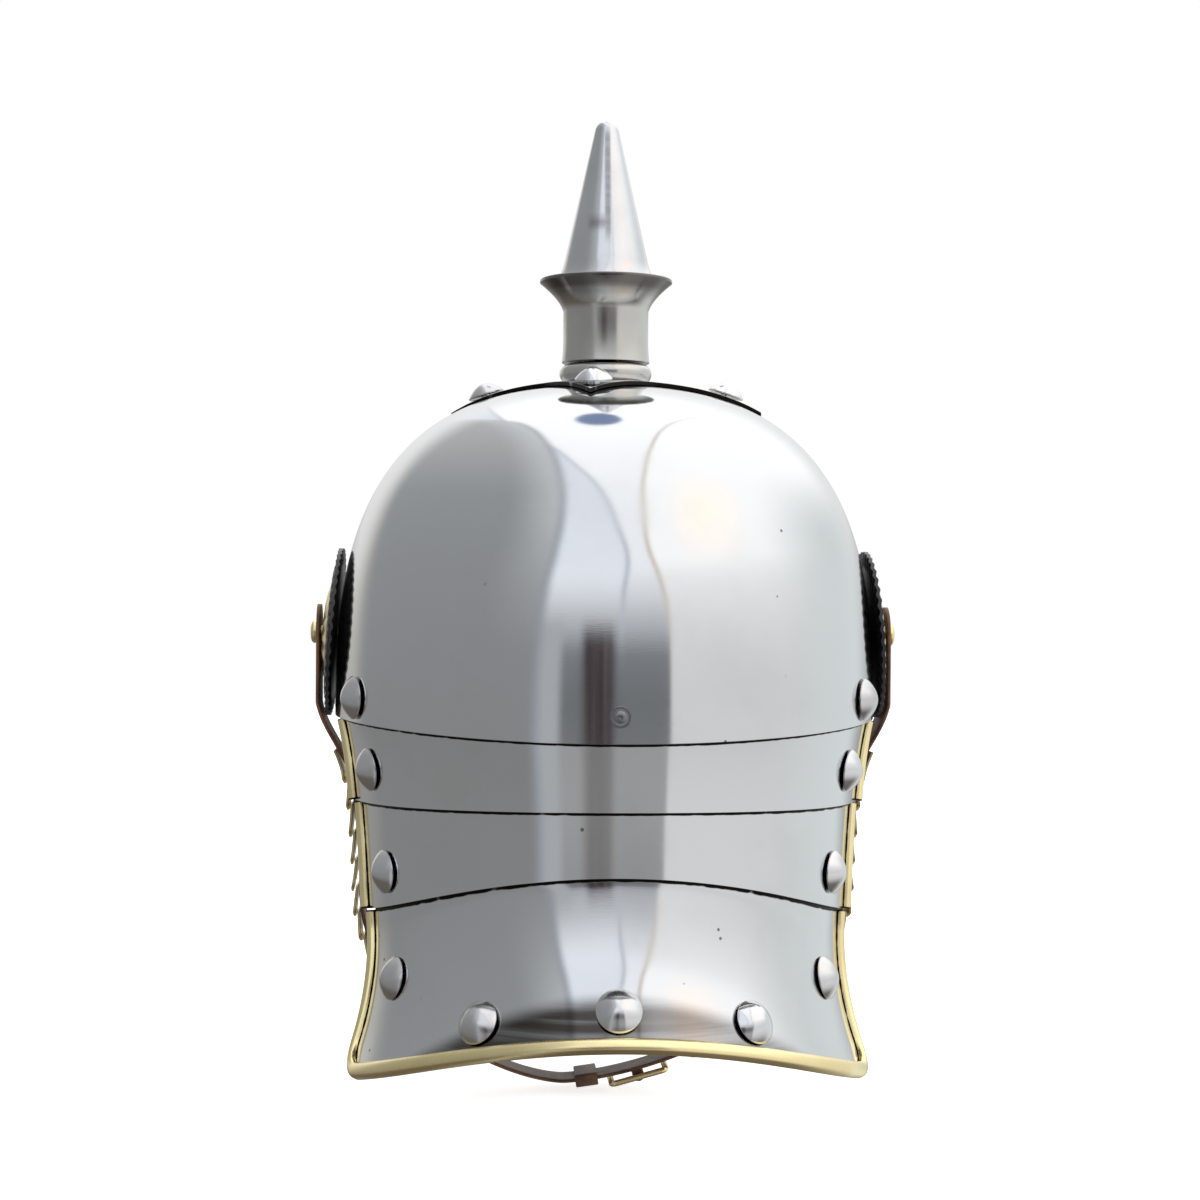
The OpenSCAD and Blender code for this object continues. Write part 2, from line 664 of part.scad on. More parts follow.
module visor() {
    color(steel) difference() {
        slab([for (j = [visor_rows:-1:0]) [for (i = [0:visor_cols]) visor_top(visor_phi(i), j)]],
            [for (j = [visor_rows:-1:0]) [for (i = [0:visor_cols]) visor_under(visor_phi(i), j)]]);
        for (phi = visor_rivet_angles) on_skin(0, phi, visor_rivet_z) small_hole();
    }
}

// The edging ends just before the visor narrows into its flange
visor_edging_at = concat([0.5], [for (i = [1:visor_cols - 1]) i], [visor_cols - 0.5]);
module visor_edging() {
    color(brass) edging([for (i = visor_edging_at) let (
            phi = visor_phi(i),
            p = visor_top(phi, visor_rows),
            q = visor_top(phi, visor_rows - (visor_rows - 1) * min(0.8, bead_w / visor_width(phi))),
            side = [-sin(phi), cos(phi), 0],
            n = unit(cross(side, q - p)))
        [p, n, q, n]]);
}

module visor_rivets() {
    head = visor_rivet_d / 2;
    shank = visor_shank_d / 2;
    foot = shank + 1.2;
    seat = plate_t + 0.45;
    color(steel) for (phi = visor_rivet_angles) on_skin(0, phi, visor_rivet_z)
        rotate_extrude($fn = 28) polygon(concat(
            [[0, -seat - 0.8], [foot, -seat - 0.8], [foot, -seat], [shank, -seat], [shank, seat], [head, seat]],
            [for (a = [15:25:90]) [head * cos(a), seat + visor_rivet_h * sin(a)]]));
}

// Sweatband and tongues
function inside_point(phi, z, inset) = skin(0, phi, z) - inset * bowl_normal(phi, z);
function band_inset(phi) = mix(band_front, band_back, smooth(2 * sin(phi)));
module sweatband() {
    color(leather) slab(
        [for (z = [1.5, band_h]) [for (phi = bowl_angles) inside_point(phi, z, band_inset(phi))]],
        [for (z = [1.5, band_h]) [for (phi = bowl_angles) inside_point(phi, z, band_inset(phi) + band_t)]],
        closed = true);
}

// Point of a tongue, sewn inside the sweatband at v = 0 and free at the crown at v = 1
function tongue_point(mid, half, v, i, d) =
    let (phi = mid + mix(0.94, 0.55, v) * half * i)
    inside_point(phi, v == 0 ? band_h - 8 : mix(band_h + 2, skull_h - crown_drop, sin(90 * v)),
        v == 0 ? band_inset(phi) + band_t + 0.2 + d : tongue_inset + d);
crown_drop = 13;
module lining_tongues() {
    rows = 6;
    half = 360 / tongues / 2;
    color(leather) for (t = [0:tongues - 1]) let (mid = 360 * (t + 0.5) / tongues) {
        slab([for (j = [0:rows]) [for (i = [-1:1]) tongue_point(mid, half, j / rows, i, 0)]],
            [for (j = [0:rows]) [for (i = [-1:1]) tongue_point(mid, half, j / rows, i, tongue_t)]]);
    }
}

// Side fittings, stacked outwards on each side screw. Cockade, ring and rosette lie along the bowl.
post_x = skull_w / 2 * dome_share(post_z, skull_h);
cockade_seat = 0.2;
side_gap = 0.1;
cord_ring_seat = cockade_seat + cockade_t + side_gap;
rosette_d = cord_ring_d - 2 * (cord_ring_w + rosette_play);
rosette_top = cord_ring_seat + rosette_t + rosette_rise;
strap_in_x = post_x + rosette_top + strap_root_w / 2 * sin(side_lean) + 1.5 * side_gap;
knob_x = strap_in_x + leather_t + 2 * side_gap;

// Stands a child that is modelled along Z on the side screw's axis, leant back along the bowl if asked
module side_at(s, x, lean = 0) {
    scale([s, 1, 1]) translate([x, 0, post_z]) rotate([0, 90 - lean, 0]) children();
}

// The same for the parts that lie along the bowl, with a hole for the screw
module side_layer(s, up) {
    difference() {
        side_at(s, post_x, side_lean) translate([0, 0, up]) children();
        side_at(s, post_x - 5) cylinder(r = post_d / 2 + rivet_play, h = 20, $fn = 40);
    }
}

module cockade(s) {
    n = 2 * cockade_flutes;
    hub_r = cord_ring_d / 2 - 1;
    rings = [[cockade_d / 2, 1], [cord_ring_d / 2 + 1.5, 0.6], [hub_r, 0]];
    function p(r, i, d) = let (a = 360 * i / n)
        [r[0] * cos(a), r[0] * sin(a), flute_depth * r[1] * (i % 2 == 0 ? 1 : 0) + d];
    color(black) side_layer(s, cockade_seat) {
        slab([for (r = rings) [for (i = [0:n - 1]) p(r, i, cockade_t)]],
            [for (r = rings) [for (i = [0:n - 1]) p(r, i, 0)]], closed = true);
        cylinder(r = hub_r + 0.2, h = cockade_t, $fn = 48);
    }
}
module cockade_left() { cockade(left); }
module cockade_right() { cockade(right); }

// Ring turned with a row of beads that stand for its twisted cord
cord_beads = 40;
module corded_ring(s) {
    color(steel) side_at(s, post_x, side_lean) translate([0, 0, cord_ring_seat]) difference() {
        union() {
            cylinder(d = cord_ring_d, h = cord_ring_t * 0.6, $fn = 60);
            for (i = [0:cord_beads - 1]) rotate([0, 0, 360 * i / cord_beads])
                translate([(cord_ring_d - cord_ring_w) / 2, 0, 0]) rotate([0, 0, 30])
                    translate([0.4 - cord_ring_w / 2, -0.9, 0]) cube([cord_ring_w - 0.8, 1.8, cord_ring_t]);
        }
        translate([0, 0, -1]) cylinder(d = cord_ring_d - 2 * cord_ring_w, h = cord_ring_t + 2, $fn = 60);
    }
}
module corded_ring_left() { corded_ring(left); }
module corded_ring_right() { corded_ring(right); }

// Domed brass disc with rays: rows from rim to centre of [radius, share of the rise, depth of the rays]
ray_depth = 0.4;
module rosette(s) {
    n = 32;
    edge = rosette_d / 2;
    rows = [[edge, 0, 0], [edge - 2.5, 0.25, 1], [strap_root_w / 2 + 1, 0.95, 0.5],
        [post_d / 2 + rivet_play, 1, 0]];
    function p(r, i, d) = let (a = 360 * i / n)
        [r[0] * cos(a), r[0] * sin(a), rosette_rise * r[1] - ray_depth * r[2] * (i % 2) + d];
    color(brass) side_layer(s, cord_ring_seat)
        slab([for (r = rows) [for (i = [0:n - 1]) p(r, i, rosette_t)]],
            [for (r = rows) [for (i = [0:n - 1]) p(r, i, 0)]], closed = true);
}
module rosette_left() { rosette(left); }
module rosette_right() { rosette(right); }

side_nut_t = 3;
module side_screws() {
    color(brass) for (s = [left, right]) side_at(s, 0) {
        translate([0, 0, knob_x]) rotate_extrude($fn = 40) polygon(concat(
            [[0, 0], [knob_d / 2, 0], [knob_d / 2, 0.8]],
            [for (a = [20:17.5:90]) [knob_d / 2 * cos(a), 0.8 + (knob_h - 0.8) * sin(a)]]));
        translate([0, 0, post_x - plate_t - side_nut_t - 1.6])
            cylinder(d = post_d, h = knob_x - post_x + plate_t + side_nut_t + 1.7, $fn = 40);
    }
}

module side_nuts() {
    color(brass) for (s = [left, right]) side_at(s, post_x - plate_t - side_nut_t - 0.9) difference() {
        translate([-side_nut_w / 2, -side_nut_w / 2, 0]) cube([side_nut_w, side_nut_w, side_nut_t]);
        translate([0, 0, -1]) cylinder(r = post_d / 2 + rivet_play, h = side_nut_t + 2, $fn = 40);
    }
}

// Chin strap: a leather loop from one side screw to the other, in the plane of the screws
strap_x = strap_in_x + leather_t / 2;
leg_share = 0.42;
tuck_start = 4;
tuck_bend = 0.55;
tuck_bend_run = 0.45;
tuck_fade = 1.6;
// Share of the way from the rosette's outside to the loop's own half width, first quick, then slow
function tuck(u) =
    tuck_bend * smooth(u / tuck_bend_run) + (1 - tuck_bend) * (1 - pow(1 - clamp01(u), tuck_fade));
function leg_x(z) = mix(strap_x, loop_x, tuck((tuck_start - z) / (tuck_start - loop_z)));
// Share of the loop's half width that is left at angle a of its rounded part
function round_share(s, a) = pow(cos(a), s > 0 ? loop_sag[0] : loop_sag[1]);
// Point of the loop's middle surface, t from 0 at the screw to 1 at the lowest point
function loop_point(s, t) =
    t < leg_share
    ? let (z = mix(post_z, loop_z, t / leg_share)) [s * leg_x(z), 0, z]
    : let (a = 90 * (t - leg_share) / (1 - leg_share))
        [mix(loop_shift, s * loop_x, round_share(s, a)), 0, loop_z - loop_drop * sin(a)];
function loop_out(s, t) =
    let (d = loop_point(s, min(1, t + 0.01)) - loop_point(s, max(0, t - 0.01))) unit([-s * d[2], 0, s * d[0]]);
function strap_width(t) = mix(strap_root_w, strap_w, smooth(t * 1.6));
function strap_ring(s, t, lift = 0) =
    let (
        p = loop_point(s, t) + lift * loop_out(s, t),
        n = loop_out(s, t) * leather_t / 2,
        w = [0, strap_width(t) / 2, 0]
    )
    s > 0 ? [p + n + w, p + n - w, p - n - w, p - n + w] : [p + n - w, p + n + w, p - n + w, p - n - w];

buckle_t = 0.865;
buckle_side = right;
strap_steps = 32;

module strap_end(s) {
    side_at(s, strap_in_x) difference() {
        cylinder(d = strap_root_w, h = leather_t, $fn = 40);
        translate([0, 0, -1]) cylinder(r = post_d / 2 + post_play, h = leather_t + 2, $fn = 40);
    }
}

module strap_left() {
    color(leather) {
        strap_end(left);
        sweep([for (i = [0:strap_steps]) strap_ring(left, mix(0.045, 1, i / strap_steps))]);
    }
}

module strap_right() {
    color(leather) {
        strap_end(right);
        sweep([for (i = [0:strap_steps]) strap_ring(right, mix(0.045, 0.995, i / strap_steps))]);
        on_strap(buckle_side, buckle_t) for (y = [-1, 1]) translate([0, y * 4.2, buckle_up])
            rotate([90, 0, 0]) difference() {
                cylinder(r = buckle_up - leather_t / 2 + 0.2, h = 5, center = true, $fn = 32);
                cylinder(d = wire_d * 0.8 + 0.2, h = 8, center = true, $fn = 32);
            }
    }
}

scale_start = 0.19;
scale_stop = 0.78;
scale_seat = 0.5;
scale_bow = 0.25;
scale_lap = 0.25;
function scale_point(s, t0, pitch, w, u, j, d) =
    let (
        t = t0 + pitch * (j == 0 ? 1 + scale_lap * (1 - u * u) : 0),
        lift = leather_t / 2 + scale_seat + (j == 0 ? scale_rise : 0) + d - scale_bow * u * u
    )
    loop_point(s, t) + lift * loop_out(s, t) + [0, s * u * w, 0];
// Overlapping scales, each a curved plate with a rounded lower end that lies over the next one
module chin_scales(s) {
    pitch = (scale_stop - scale_start) / scales;
    cols = 4;
    color(brass) for (k = [0:scales - 1]) let (
            t0 = scale_start + pitch * k,
            w = mix(scale_w, scale_end_w, k / (scales - 1)) / 2)
        slab([for (j = [0:1]) [for (i = [0:cols]) scale_point(s, t0, pitch, w, 2 * i / cols - 1, j, scale_t)]],
            [for (j = [0:1]) [for (i = [0:cols]) scale_point(s, t0, pitch, w, 2 * i / cols - 1, j, 0)]]);
}
module scales_left() { chin_scales(left); }
module scales_right() { chin_scales(right); }

// Stands a child on the loop with X along the strap, Y across it and Z outwards
module on_strap(s, t) {
    n = loop_out(s, t);
    translate(loop_point(s, t)) rotate([0, atan2(n[0], n[2]), 0]) children();
}

buckle_w = strap_w + 2 * wire_d + 1.6;
prong_play = 0.08;
prong_ring = wire_d * 0.4 + prong_play;
prong_wall = 0.7;
prong_w = 2.4;
prong_t = 1.2;
buckle_up = leather_t / 2 + prong_ring + prong_wall + 0.25;
module buckle_frame() {
    color(brass) on_strap(buckle_side, buckle_t) translate([0, 0, buckle_up]) {
        for (y = [-1, 1]) translate([-buckle_l / 2, y * (buckle_w - wire_d) / 2, 0]) rotate([0, 90, 0])
            cylinder(d = wire_d, h = buckle_l, $fn = 24);
        for (x = [-buckle_l / 2, buckle_l / 2]) translate([x, 0, 0]) rotate([90, 0, 0])
            cylinder(d = wire_d, h = buckle_w, center = true, $fn = 24);
        rotate([90, 0, 0]) cylinder(d = wire_d * 0.8, h = buckle_w - wire_d, center = true, $fn = 24);
    }
}

module buckle_prong() {
    color(brass) on_strap(buckle_side, buckle_t) translate([0, 0, buckle_up]) {
        rotate([90, 0, 0]) difference() {
            cylinder(r = prong_ring + prong_wall, h = prong_w, center = true, $fn = 32);
            cylinder(r = prong_ring, h = 2 * prong_w, center = true, $fn = 32);
        }
        translate([prong_ring + prong_wall / 2, -prong_w / 2, 0])
            cube([2 * prong_wall, prong_w, wire_d / 2 + prong_wall]);
        translate([prong_ring + prong_wall, -prong_w / 2, wire_d / 2 + 0.15])
            cube([buckle_l / 2 - prong_ring, prong_w, prong_t]);
    }
}

keeper_t = 0.945;
keeper_l = 8;
keeper_wall = 1.2;
keeper_play = 0.4;
module strap_keeper() {
    hole = [leather_t, strap_w] + 2 * keeper_play * [1, 1];
    color(leather) on_strap(buckle_side, keeper_t) rotate([0, 90, 0])
        linear_extrude(keeper_l, center = true) difference() {
            square(hole + 2 * keeper_wall * [1, 1], center = true);
            square(hole, center = true);
        }
}

skull();
visor();
visor_edging();
visor_rivets();
lame_1();
lame_2();
lame_3();
lame_1_edging();
lame_2_edging();
lame_3_edging();
skull_pivot_rivets();
lame_1_pivot_rivets();
lame_2_pivot_rivets();
lame_3_rivets();
sliding_rivet();
cross_plate();
cross_plate_studs();
base_ring();
spike_neck();
spike_cone();
spike_stud();
crown_washer();
crown_nut();
sweatband();
lining_tongues();
cockade_left();
cockade_right();
corded_ring_left();
corded_ring_right();
side_screws();
side_nuts();
rosette_left();
rosette_right();
strap_left();
strap_right();
scales_left();
scales_right();
buckle_frame();
buckle_prong();
strap_keeper();
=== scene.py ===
import math

import bpy
import numpy as np
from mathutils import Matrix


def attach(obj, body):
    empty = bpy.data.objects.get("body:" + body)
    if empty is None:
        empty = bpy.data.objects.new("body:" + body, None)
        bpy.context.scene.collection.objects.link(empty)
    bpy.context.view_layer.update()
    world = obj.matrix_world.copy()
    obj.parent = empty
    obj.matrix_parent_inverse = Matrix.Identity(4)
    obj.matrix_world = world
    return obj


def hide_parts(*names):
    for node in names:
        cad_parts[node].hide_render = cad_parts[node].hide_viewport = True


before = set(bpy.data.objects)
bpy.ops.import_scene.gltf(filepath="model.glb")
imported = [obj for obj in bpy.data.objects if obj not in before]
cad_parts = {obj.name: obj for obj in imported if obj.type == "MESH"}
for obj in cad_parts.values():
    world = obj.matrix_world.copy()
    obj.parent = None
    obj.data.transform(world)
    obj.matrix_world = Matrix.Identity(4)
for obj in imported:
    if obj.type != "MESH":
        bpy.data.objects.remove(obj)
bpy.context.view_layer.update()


# Studio: the helmet is shown against a pale wall, a little above a pale floor. The camera stands
# level behind it. All light comes from the soft room round it, and what the polished steel shows
# is that room: a grey wall, a bright window and the way between them.
MM = 0.001
CAMERA_HEIGHT, CAMERA_BACK, CAMERA_SIDE = 0.041, 0.85, 0.040
CAMERA_ROLL, CAMERA_YAW = -0.35, 180.1
IMAGE_PX, PX_MM, SENSOR_MM = 1200, 0.36, 36.0

camera_data = bpy.data.cameras.new("camera")
camera_data.sensor_width = SENSOR_MM
camera_data.lens = SENSOR_MM * CAMERA_BACK / (IMAGE_PX * PX_MM * MM)
camera_data.clip_start = 0.01
camera = bpy.data.objects.new("camera", camera_data)
bpy.context.scene.collection.objects.link(camera)
camera.location = (CAMERA_SIDE, CAMERA_BACK, CAMERA_HEIGHT)
camera.rotation_euler = (math.radians(90), math.radians(CAMERA_ROLL),
                         math.radians(CAMERA_YAW) - math.atan2(CAMERA_SIDE, CAMERA_BACK))
bpy.context.scene.camera = camera
bpy.context.scene.view_settings.view_transform = "Standard"


# Room seen in the steel: each direction is named by the normal of a surface that would show it to
# someone behind the helmet. "across" turns from the middle (0) to the image's left (1), "up" rises
# from level (0) to straight up (1), so that the room's edges are curves of one over the other.


def add(tree, kind, inputs=None, **settings):
    """Adds a node, sets its options, and fills its inputs with values or with links."""
    made = tree.nodes.new(kind)
    for key, value in settings.items():
        setattr(made, key, value)
    for key, value in (inputs or {}).items():
        if isinstance(value, bpy.types.NodeSocket):
            tree.links.new(value, made.inputs[key])
        else:
            made.inputs[key].default_value = value
    return made


def maths(tree, operation, *values, clamp=False):
    """One Math node over sockets or numbers."""
    inputs = dict(enumerate(values))
    return add(tree, "ShaderNodeMath", inputs, operation=operation, use_clamp=clamp).outputs[0]


def times(tree, a, b):
    """Product of two sockets or numbers."""
    return maths(tree, "MULTIPLY", a, b)


def linear(tree, value, slope, start):
    """slope * value + start."""
    return maths(tree, "MULTIPLY_ADD", value, slope, start)


def mixed(tree, factor, a, b):
    """Colour a where the factor is 0 and colour b where it is 1."""
    return add(tree, "ShaderNodeMix", {0: factor, 6: a, 7: b}, data_type="RGBA").outputs[2]


def ramp(tree, value, low, high):
    """0 below low, 1 above high, and a smooth step between them."""
    return add(tree, "ShaderNodeMapRange", {"Value": value, "From Min": low, "From Max": high},
               interpolation_type="SMOOTHSTEP").outputs[0]


def band(tree, value, half):
    """1 where the value is 0, falling smoothly to 0 at half a band's width on both sides."""
    return ramp(tree, maths(tree, "ABSOLUTE", value), half, 0.0)


def curve(tree, value, listed):
    """Smooth curve through (value, result) points, both from -1 to 1."""
    made = add(tree, "ShaderNodeFloatCurve", {1: linear(tree, value, 0.5, 0.5)})
    points = made.mapping.curves[0].points
    spots = [((x + 1) / 2, (y + 1) / 2) for x, y in listed]
    points[0].location, points[-1].location = spots[0], spots[-1]
    for spot in spots[1:-1]:
        points.new(*spot)
    made.mapping.update()
    return linear(tree, made.outputs[0], 2.0, -1.0)


def noise(tree, place, scale, detail, **more):
    """Soft noise between 0 and 1."""
    inputs = {"Vector": place, "Scale": scale, "Detail": detail, **more}
    return add(tree, "ShaderNodeTexNoise", inputs).outputs["Fac"]


def stops(tree, value, listed):
    """Colour ramp through (value, grey or colour) stops, for values from -1 to 1."""
    made = add(tree, "ShaderNodeValToRGB", {0: linear(tree, value, 0.5, 0.5)})
    elements = made.color_ramp.elements
    for x, _ in listed[1:-1]:
        elements.new((x + 1) / 2)
    for element, (x, colour) in zip(elements, listed):
        element.position = (x + 1) / 2
        element.color = (*(colour if isinstance(colour, tuple) else (colour,) * 3), 1)
    return made.outputs[0]


world = bpy.data.worlds.new("studio")
bpy.context.scene.world = world
world.use_nodes = True
sky = world.node_tree
sky.nodes.clear()

direction = add(sky, "ShaderNodeTexCoord").outputs["Generated"]
half_way = add(sky, "ShaderNodeVectorMath", {0: direction, 1: (0, 1, 0)}, operation="ADD").outputs[0]
half_way = add(sky, "ShaderNodeVectorMath", {0: half_way}, operation="NORMALIZE").outputs[0]
facing = add(sky, "ShaderNodeSeparateXYZ", {0: half_way}).outputs
squares = [times(sky, facing[i], facing[i]) for i in (0, 1)]
level = maths(sky, "SQRT", maths(sky, "ADD", *squares))
across = maths(sky, "DIVIDE", facing[0], maths(sky, "MAXIMUM", level, 0.001))
up = facing[2]

wall_edge = curve(sky, up, [(-1, 0.31), (0.0, 0.314), (0.19, 0.282), (0.29, 0.251), (0.42, 0.228),
                            (0.57, 0.244), (0.73, 0.337), (0.82, 0.49), (0.848, 0.74), (0.87, 1), (1, 1)])
window_edge = curve(sky, up, [(-1, -0.2), (0.0, -0.232), (0.14, -0.222), (0.22, -0.191), (0.31, -0.15),
                              (0.42, -0.142), (0.57, -0.16), (0.73, -0.256), (0.81, -0.404), (0.845, -0.75),
                              (0.87, -1), (1, -1)])
blind_edge = curve(sky, up, [(-1, -0.03), (0.0, -0.03), (0.17, -0.039), (0.27, -0.06), (0.38, -0.02),
                             (0.52, 0.052), (0.63, 0.177), (0.71, 0.3), (0.75, 0.4), (1, 1)])
past_wall = maths(sky, "SUBTRACT", across, wall_edge)
past_window = maths(sky, "SUBTRACT", window_edge, across)
past_blind = maths(sky, "SUBTRACT", across, blind_edge)

# The grey wall, which brightens towards its upper edge and at the far side.
wall = stops(sky, up, [(-1, (0.13, 0.11, 0.10)), (-0.4, (0.16, 0.14, 0.12)), (-0.24, 0.28), (-0.1, 0.3),
                       (0.0, (0.32, 0.33, 0.335)), (0.2, (0.34, 0.35, 0.355)), (0.5, (0.38, 0.395, 0.40)),
                       (1, 0.7)])
rising = add(sky, "ShaderNodeMapRange", {
    "Value": up, "From Min": 0.05, "From Max": 0.45, "To Min": 0.0, "To Max": 0.45}).outputs[0]
wall = mixed(sky, times(sky, ramp(sky, past_wall, 0.26, 0.0), rising), wall, (1.05, 1.08, 1.12, 1))
far_side = times(sky, ramp(sky, across, 0.9, 1.0), ramp(sky, up, -0.3, 0.0))
wall = mixed(sky, far_side, wall, (0.95, 0.9, 0.78, 1))

# The way between: bright above, with a light strip beside the wall, a dark doorway and a blind.
gap = stops(sky, up, [(-1, (0.12, 0.10, 0.09)), (-0.4, (0.15, 0.13, 0.11)), (-0.24, 0.42), (-0.12, 0.44),
                      (-0.02, (0.20, 0.21, 0.22)), (0.05, (0.26, 0.27, 0.29)), (0.09, (0.52, 0.54, 0.57)),
                      (0.16, (0.84, 0.86, 0.9)), (0.24, (1.12, 1.15, 1.2)), (1, 1.5)])
strip = times(sky, ramp(sky, past_wall, -0.115, -0.075), ramp(sky, up, 0.13, 0.08))
gap = mixed(sky, strip, gap, (0.51, 0.53, 0.55, 1))
door_middle = maths(sky, "ABSOLUTE", maths(sky, "SUBTRACT", across, 0.064))
door = times(sky, ramp(sky, door_middle, 0.088, 0.04), ramp(sky, up, 0.13, 0.06))
door = times(sky, door, linear(sky, ramp(sky, up, -0.1, -0.03), 0.5, 0.45))
grain_place = add(sky, "ShaderNodeCombineXYZ", {0: across, 2: times(sky, up, 0.06)}).outputs[0]
streaks = ramp(sky, noise(sky, grain_place, 45.0, 2.0), 0.4, 0.68)
gap = mixed(sky, door, gap, mixed(sky, streaks, (0.042, 0.028, 0.032, 1), (0.13, 0.105, 0.105, 1)))
blind = times(sky, ramp(sky, past_blind, -0.006, 0.006), ramp(sky, up, 0.12, 0.3))
gap = mixed(sky, blind, gap, (1.02, 1.06, 1.14, 1))
blind_side = times(sky, band(sky, past_blind, 0.02), ramp(sky, up, 0.02, 0.2))
gap = mixed(sky, blind_side, gap, (0.62, 0.65, 0.72, 1))

# The window, shaded at the far side, with a warm patch in it.
window = stops(sky, up, [(-1, (0.14, 0.12, 0.11)), (-0.42, (0.2, 0.18, 0.16)), (-0.24, 0.74), (-0.1, 0.88),
                         (0.0, 0.83), (0.08, 0.92), (0.2, 1.1), (0.27, 1.3), (1, 1.5)])
shade = times(sky, ramp(sky, across, -0.6, -0.9), ramp(sky, up, 0.6, 0.3))
window = mixed(sky, shade, window, (0.84, 0.88, 0.88, 1))
WARM_ACROSS, WARM_UP, WARM_HALF = -0.42, 0.42, 0.2
warm = [band(sky, maths(sky, "SUBTRACT", value, middle), WARM_HALF)
        for value, middle in ((across, WARM_ACROSS), (up, WARM_UP))]
window = mixed(sky, times(sky, *warm), window, (1.6, 1.38, 1.22, 1))

# The three side by side, with soft dark edges, and a blue lamp hood high up over them.
back_room = mixed(sky, ramp(sky, past_wall, -0.012, 0.012), gap, wall)
back_room = mixed(sky, times(sky, band(sky, past_wall, 0.035), 0.7), back_room, (0.38, 0.41, 0.46, 1))
back_room = mixed(sky, ramp(sky, past_window, -0.008, 0.008), back_room, window)
window_frame = times(sky, band(sky, past_window, 0.018), ramp(sky, up, 0.0, 0.25))
back_room = mixed(sky, window_frame, back_room, (0.75, 0.62, 0.50, 1))
HOOD_ACROSS, HOOD_ACROSS_HALF, HOOD_UP, HOOD_UP_HALF = 0.028, 0.155, 0.846, 0.029
hood = [maths(sky, "POWER", maths(sky, "ABSOLUTE", linear(sky, value, 1 / half, -middle / half)), 2.0)
        for value, middle, half in ((across, HOOD_ACROSS, HOOD_ACROSS_HALF), (up, HOOD_UP, HOOD_UP_HALF))]
back_room = mixed(sky, ramp(sky, maths(sky, "ADD", *hood), 1.25, 0.7), back_room, (0.25, 0.32, 0.5, 1))

# What the helmet's front shows is plainer: one soft gradient from floor to ceiling.
compass = add(sky, "ShaderNodeSeparateXYZ", {0: direction}).outputs
front_room = stops(sky, compass[2], [(-1, 0.15), (-0.1, 0.34), (0.02, 0.5), (0.12, 0.85), (1, 1.4)])
room_colour = mixed(sky, ramp(sky, compass[1], -0.7, -0.95), back_room, front_room)
room = add(sky, "ShaderNodeBackground", {"Color": room_colour, "Strength": 1.0})
white = add(sky, "ShaderNodeBackground", {"Color": (1, 1, 1, 1), "Strength": 1.0})
seen = add(sky, "ShaderNodeLightPath").outputs["Is Camera Ray"]
shown = add(sky, "ShaderNodeMixShader", {0: seen, 1: room.outputs[0], 2: white.outputs[0]})
add(sky, "ShaderNodeOutputWorld", {"Surface": shown.outputs[0]})


# Floor: a pale sheet under the helmet that takes its soft shadow. From below it is see-through.
FLOOR_Z, FLOOR_HALF = -0.1345, 3


def empty_material(name):
    """New material with an empty node tree, and that tree."""
    made = bpy.data.materials.new(name)
    made.use_nodes = True
    made.node_tree.nodes.clear()
    return made, made.node_tree


floor_corners = [(x * FLOOR_HALF, y * FLOOR_HALF, FLOOR_Z) for x, y in ((-1, -1), (1, -1), (1, 1), (-1, 1))]
floor_mesh = bpy.data.meshes.new("floor")
floor_mesh.from_pydata(floor_corners, [], [(0, 1, 2, 3)])
pale_floor, floor_tree = empty_material("pale_floor")
paint = add(floor_tree, "ShaderNodeBsdfPrincipled", {
    "Base Color": (0.9, 0.9, 0.9, 1), "Roughness": 0.9,
    "Emission Color": (1, 1, 1, 1), "Emission Strength": 0.78})
from_below = add(floor_tree, "ShaderNodeNewGeometry").outputs["Backfacing"]
clear = add(floor_tree, "ShaderNodeBsdfTransparent")
floor_shader = add(floor_tree, "ShaderNodeMixShader", {
    0: from_below, 1: paint.outputs[0], 2: clear.outputs[0]})
add(floor_tree, "ShaderNodeOutputMaterial", {"Surface": floor_shader.outputs[0]})
floor_mesh.materials.append(pale_floor)
floor = bpy.data.objects.new("floor", floor_mesh)
bpy.context.scene.collection.objects.link(floor)
floor.visible_glossy = False


# Bowl: one shell raised from steel sheet and polished. Its section is an oval that is longer at
# the back, its profile a squared ellipse, and its lower edge droops a little at the back.
SKULL_W, SKULL_BACK, SKULL_FRONT, SKULL_H = 192, 114, 111, 117
DOME_N = 2.75
SKULL_DROOP = 4
PLATE_T = 1.2
BOWL_COLUMNS, BOWL_ROWS = 256, 96
LIP_ANGLES = np.radians([60, 30, 0, -30, -60])


def mix(a, b, share):
    """Value that lies a share of the way from a to b."""
    return a + (b - a) * share


def unit(vectors):
    """Vectors divided by their lengths."""
    return vectors / np.maximum(np.linalg.norm(vectors, axis=-1, keepdims=True), 1e-12)


def grid_faces(rows, cols, wrap_rows=False, wrap_cols=False):
    """Quads of a grid of points, row by row, that face along (column direction) x (row direction)."""
    j, i = np.meshgrid(np.arange(rows if wrap_rows else rows - 1),
                       np.arange(cols if wrap_cols else cols - 1), indexing="ij")
    over, on = (j + 1) % rows, (i + 1) % cols
    return np.stack([j * cols + i, j * cols + on, over * cols + on, over * cols + i], -1).reshape(-1, 4)


def solid(points, faces):
    """A closed surface as (points, list of face arrays), turned to face outwards by its signed volume."""
    points = np.asarray(points, float).reshape(-1, 3)
    volume = 0.0
    for group in faces:
        for c in range(1, group.shape[1] - 1):
            a, b, d = points[group[:, 0]], points[group[:, c]], points[group[:, c + 1]]
            volume += np.einsum("ij,ij->i", a, np.cross(b, d)).sum()
    return points, (faces if volume > 0 else [group[:, ::-1] for group in faces])


